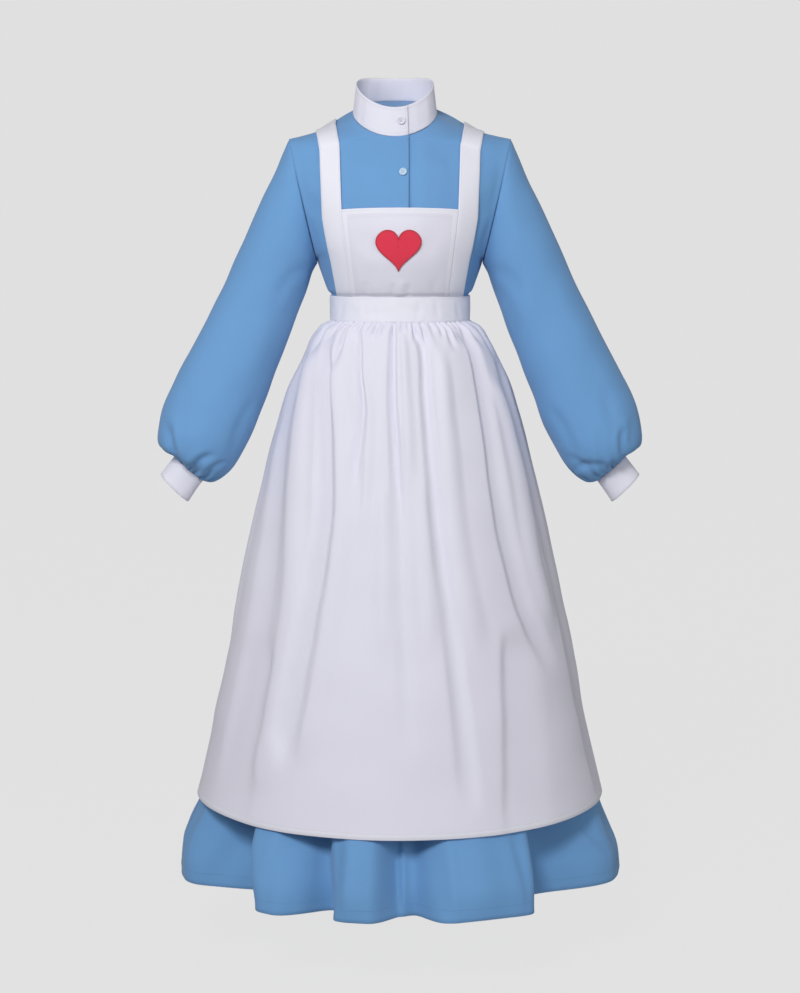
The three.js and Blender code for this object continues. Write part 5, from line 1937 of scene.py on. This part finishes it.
@dataclass(frozen=True)
class ButtonSizes:
    """Sizes of a four-hole button in millimetres."""
    radius: float = 6.5
    thick: float = 2.6
    rim: float = 1.3
    hole: float = 1.05
    hole_place: float = 2.1
    hole_depth: float = 1.45
    dish: float = 1.1
    thread_depth: float = 0.95
    rings: int = 44
    steps: int = 96


class Button:
    """Round button with a raised rim, four holes and crossed thread."""

    def __init__(self, node: str, place: Array, normal: Array, slot: str,
                 sizes: ButtonSizes = ButtonSizes()) -> None:
        """Keeps where the button sits and which way it looks."""
        self.node = node
        self.slot = slot
        self.sizes = sizes
        self.normal = unit(np.asarray(normal, float))
        self.place = np.asarray(place, float) + 0.5 * self.normal
        self.across = unit(np.cross(np.array([0.0, 0.0, 1.0]), self.normal))
        self.up = np.cross(self.normal, self.across)

    def world(self, a: Array, b: Array, height: Array) -> Array:
        """Points at places of the button's face."""
        return (self.place + a[..., None] * self.across + b[..., None] * self.up
                + height[..., None] * self.normal)

    def profile(self, r: Array) -> Array:
        """Height of the face at a distance from the middle."""
        size = self.sizes
        dish = size.thick - size.dish
        wall = smoothstep(r, size.radius - size.rim - 0.7, size.radius - size.rim)
        edge = np.clip((r - (size.radius - 0.5)) / 0.5, 0, 1)
        return dish + (size.thick - dish) * wall - 0.5 * (1 - np.sqrt(1 - edge ** 2))

    def disc(self, material: bpy.types.Material) -> None:
        """Makes the button itself."""
        size = self.sizes
        r = np.linspace(0.0, size.radius, size.rings)[:, None]
        t = (np.arange(size.steps) * 2 * np.pi / size.steps)[None, :]
        a, b = r * np.cos(t), r * np.sin(t)
        height = self.profile(r) + 0 * a
        for turn in (45, 135, 225, 315):
            at = math.radians(turn)
            far = np.hypot(a - size.hole_place * math.cos(at), b - size.hole_place * math.sin(at))
            height = height - size.hole_depth * (1 - smoothstep(far, size.hole - 0.2, size.hole + 0.12))
        side = [(size.radius, size.thick - 1.2), (size.radius, 0.7), (size.radius - 0.6, 0.0)]
        rows = [self.world(a, b, height)]
        for radius, level in side:
            ring = self.world(radius * np.cos(t), radius * np.sin(t), np.full(t.shape, level))
            rows.append(ring)
        points = np.concatenate(rows, axis=0)
        count, steps = points.shape[:2]
        number = np.arange(count * steps).reshape(count, steps)
        nxt = np.roll(number, -1, axis=1)
        faces = np.stack([number[:-1], number[1:], nxt[1:], nxt[:-1]], axis=-1).reshape(-1, 4)
        faces = [*faces.tolist(), number[-1][::-1].tolist()]
        piece = new_object(self.node + "_disc", points.reshape(-1, 3) * MM, faces)
        dress(piece, self.node, self.slot, material)

    def thread(self, material: bpy.types.Material) -> None:
        """Makes the crossed thread between the holes."""
        size = self.sizes
        cross = Stitching(self.node + "_thread", StitchStyle(10.0, 2.5 * size.hole_place, 0.28))
        for turn in (45, 135):
            at = math.radians(turn)
            reach = np.linspace(-5.0, 5.0, 41)
            a, b = reach * math.cos(at), reach * math.sin(at)
            line = self.world(a, b, np.full(reach.shape, size.thick - size.thread_depth))
            cross.add((line, np.tile(self.normal, (len(reach), 1))))
        dress(cross.build(), None, self.slot, material)


# Studio

@dataclass(frozen=True)
class StudioSizes:
    """Camera, lights and floor, in metres and degrees."""
    camera: tuple[float, float, float] = (0.0, -4.3, -0.1273)
    tilt: float = 6.881
    lens: float = 89.08
    sensor: float = 36.0
    floor_z: float = -1.45
    floor_radius: float = 14.0
    backdrop: float = 0.745
    fill: float = 0.25
    floor_less: float = 0.006
    floor_steps: int = 96


@dataclass
class Studio:
    """Pale floor and backdrop, soft light and the camera."""

    sizes: StudioSizes = StudioSizes()

    def camera(self) -> None:
        """Adds the camera at the viewing angle of the photograph."""
        data = bpy.data.cameras.new("camera")
        data.lens = self.sizes.lens
        data.sensor_fit = "VERTICAL"
        data.sensor_height = self.sizes.sensor
        data.clip_end = 60.0
        camera = bpy.data.objects.new("camera", data)
        camera.location = self.sizes.camera
        camera.rotation_euler = (math.radians(90 - self.sizes.tilt), 0.0, 0.0)
        bpy.context.scene.collection.objects.link(camera)
        bpy.context.scene.camera = camera

    def light(self, name: str, place: Sequence[float], target: Sequence[float], size: float,
              power: float) -> None:
        """Adds a soft square light that looks at a target.

        Args:
            name: name of the light.
            place: where it stands, in metres.
            target: what it looks at.
            size: side of the square.
            power: power in watts.
        """
        data = bpy.data.lights.new(name, "AREA")
        data.size = size
        data.energy = power
        lamp = bpy.data.objects.new(name, data)
        lamp.location = place
        aim = Vector(target) - Vector(place)
        lamp.rotation_euler = aim.to_track_quat("-Z", "Y").to_euler()
        bpy.context.scene.collection.objects.link(lamp)

    def floor(self) -> None:
        """Adds the pale floor."""
        size = self.sizes
        steps = size.floor_steps
        t = np.arange(steps) * 2 * np.pi / steps
        rings = [np.stack([r * np.cos(t), r * np.sin(t), np.full(steps, size.floor_z)], axis=-1)
                 for r in (1.0, 3.0, size.floor_radius)]
        points = np.concatenate(rings)
        faces = [list(range(steps))]
        for ring in range(len(rings) - 1):
            for k in range(steps):
                a, b = ring * steps + k, ring * steps + (k + 1) % steps
                faces.append([a, a + steps, b + steps, b])
        floor = new_object("studio_floor", points, faces)
        material, nodes, shader = new_material("studio_floor")
        grain = nodes.add("ShaderNodeTexNoise", {"Scale": 3.0, "Detail": 2.0})
        grey = nodes.math("ADD", nodes.math("MULTIPLY", grain.outputs[0], 0.004), 0.03)
        rgb = nodes.add("ShaderNodeCombineXYZ", {0: grey, 1: grey, 2: grey}).outputs[0]
        nodes.feed(shader, {"Base Color": rgb, "Roughness": 1.0, "Specular IOR Level": 0.0,
                            "Emission Color": WHITE,
                            "Emission Strength": self.glow(nodes, size.floor_less)})
        floor.data.materials.append(material)

    def glow(self, nodes: Nodes, less: float) -> bpy.types.NodeSocket:
        """Strength of the backdrop for the camera, and of the fill for all other rays."""
        seen = nodes.add("ShaderNodeLightPath").outputs["Is Camera Ray"]
        gain = nodes.math("MULTIPLY", seen, self.sizes.backdrop - self.sizes.fill - less)
        return nodes.math("ADD", gain, self.sizes.fill)

    def world(self) -> None:
        """Sets an even backdrop for the camera and a softer fill for the light."""
        world = bpy.data.worlds.new("studio_world")
        world.use_nodes = True
        bpy.context.scene.world = world
        nodes = Nodes(world.node_tree)
        nodes.feed(world.node_tree.nodes["Background"],
                   {"Strength": self.glow(nodes, 0.0), "Color": WHITE})

    def build(self) -> None:
        """Sets up the whole studio."""
        self.camera()
        self.floor()
        self.world()
        self.light("key_light", (-1.1, -3.7, 1.9), (0.0, 0.0, -0.6), 1.1, 112.0)
        self.light("left_light", (-1.7, -1.8, 0.3), (-0.1, 0.0, -0.3), 0.8, 10.0)
        self.light("right_light", (2.4, -2.4, -0.3), (0.1, 0.0, -0.8), 1.0, 19.0)
        bpy.context.scene.view_settings.view_transform = "Standard"
        LOG.info("studio ready")


# The whole uniform

@dataclass(frozen=True)
class SheetCut:
    """Size that a hanging sheet was cut to: metres across and down, and square metres."""
    across: float
    down: float
    area: float
    held: str


def add_buttons(collar: Collar) -> None:
    """Adds the three buttons."""
    blue = gloss_material("pale_blue_button", (0.56, 0.72, 0.88))
    white = gloss_material("white_button", (0.80, 0.80, 0.90))
    thread = thread_material("white_thread_cross", (0.78, 0.80, 0.86))
    half = HALVES[1, False]
    v = half.row_at_height(-80.0)
    spot, look = half.at_x(5.0, v), half.normal_at_x(5.0, v)
    buttons = [(Button("button_bodice", spot, look, "button"), blue)]
    degrees = np.array([367.6, 368.6, 369.6])
    along = collar.surface(degrees, np.full(3, 0.52))
    up = collar.surface(np.full(2, 368.6), np.array([0.0, 1.0]))
    look = np.cross(along[2] - along[0], up[1] - up[0])
    buttons.append((Button("button_collar", along[1], look, "white_button"), white))
    size = WaistbandSizes()
    radius = size.half - size.back_less + size.rise
    spot = np.array([0.0, radius, (BAND_TOP + BAND_BOTTOM) / 2])
    buttons.append((Button("button_waistband", spot, np.array([0.0, 1.0, 0.0]), "white_button"),
                    white))
    for button, material in buttons:
        button.disc(material)
        button.thread(thread)


def main() -> None:
    """Builds the uniform and its studio."""
    logging.basicConfig(level=logging.INFO, format="%(message)s")
    Studio().build()
    cloth = ClothMaker()
    white_rows = Stitching("white_stitching")
    blue_rows = Stitching("blue_stitching")
    panels = Bodice().build(cloth)
    blue_rows.add(placket_line(panels["bodice_front_right"]))
    collar = Collar()
    collar.build(cloth, white_rows)
    for side in Side:
        Sleeve(side).build(cloth, white_rows)
    skirts = DressSkirt().build(cloth, blue_rows)
    apron = ApronSkirt().build(cloth, white_rows)
    Bib().build(cloth, white_rows)
    for side in Side:
        Strap(side).build(cloth, white_rows)
    Waistband().build(cloth, white_rows)
    Heart().build(cloth)
    add_buttons(collar)
    dress(white_rows.build(), None, "apron_cloth", thread_material("white_thread", (0.74, 0.74, 0.83)))
    dress(blue_rows.build(), None, "dress_cloth", thread_material("blue_thread", (0.13, 0.31, 0.6)))
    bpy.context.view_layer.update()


def placket_line(grid: ClothGrid) -> tuple[Array, Array]:
    """Line of the stitches along the placket's free edge, below the collar."""
    rows = int(round((grid.points.shape[0] - 1) * 10 / 15))
    points, normals = grid.line(0.7, 1)
    return points[2:rows], normals[2:rows]


if __name__ == "__main__":
    main()
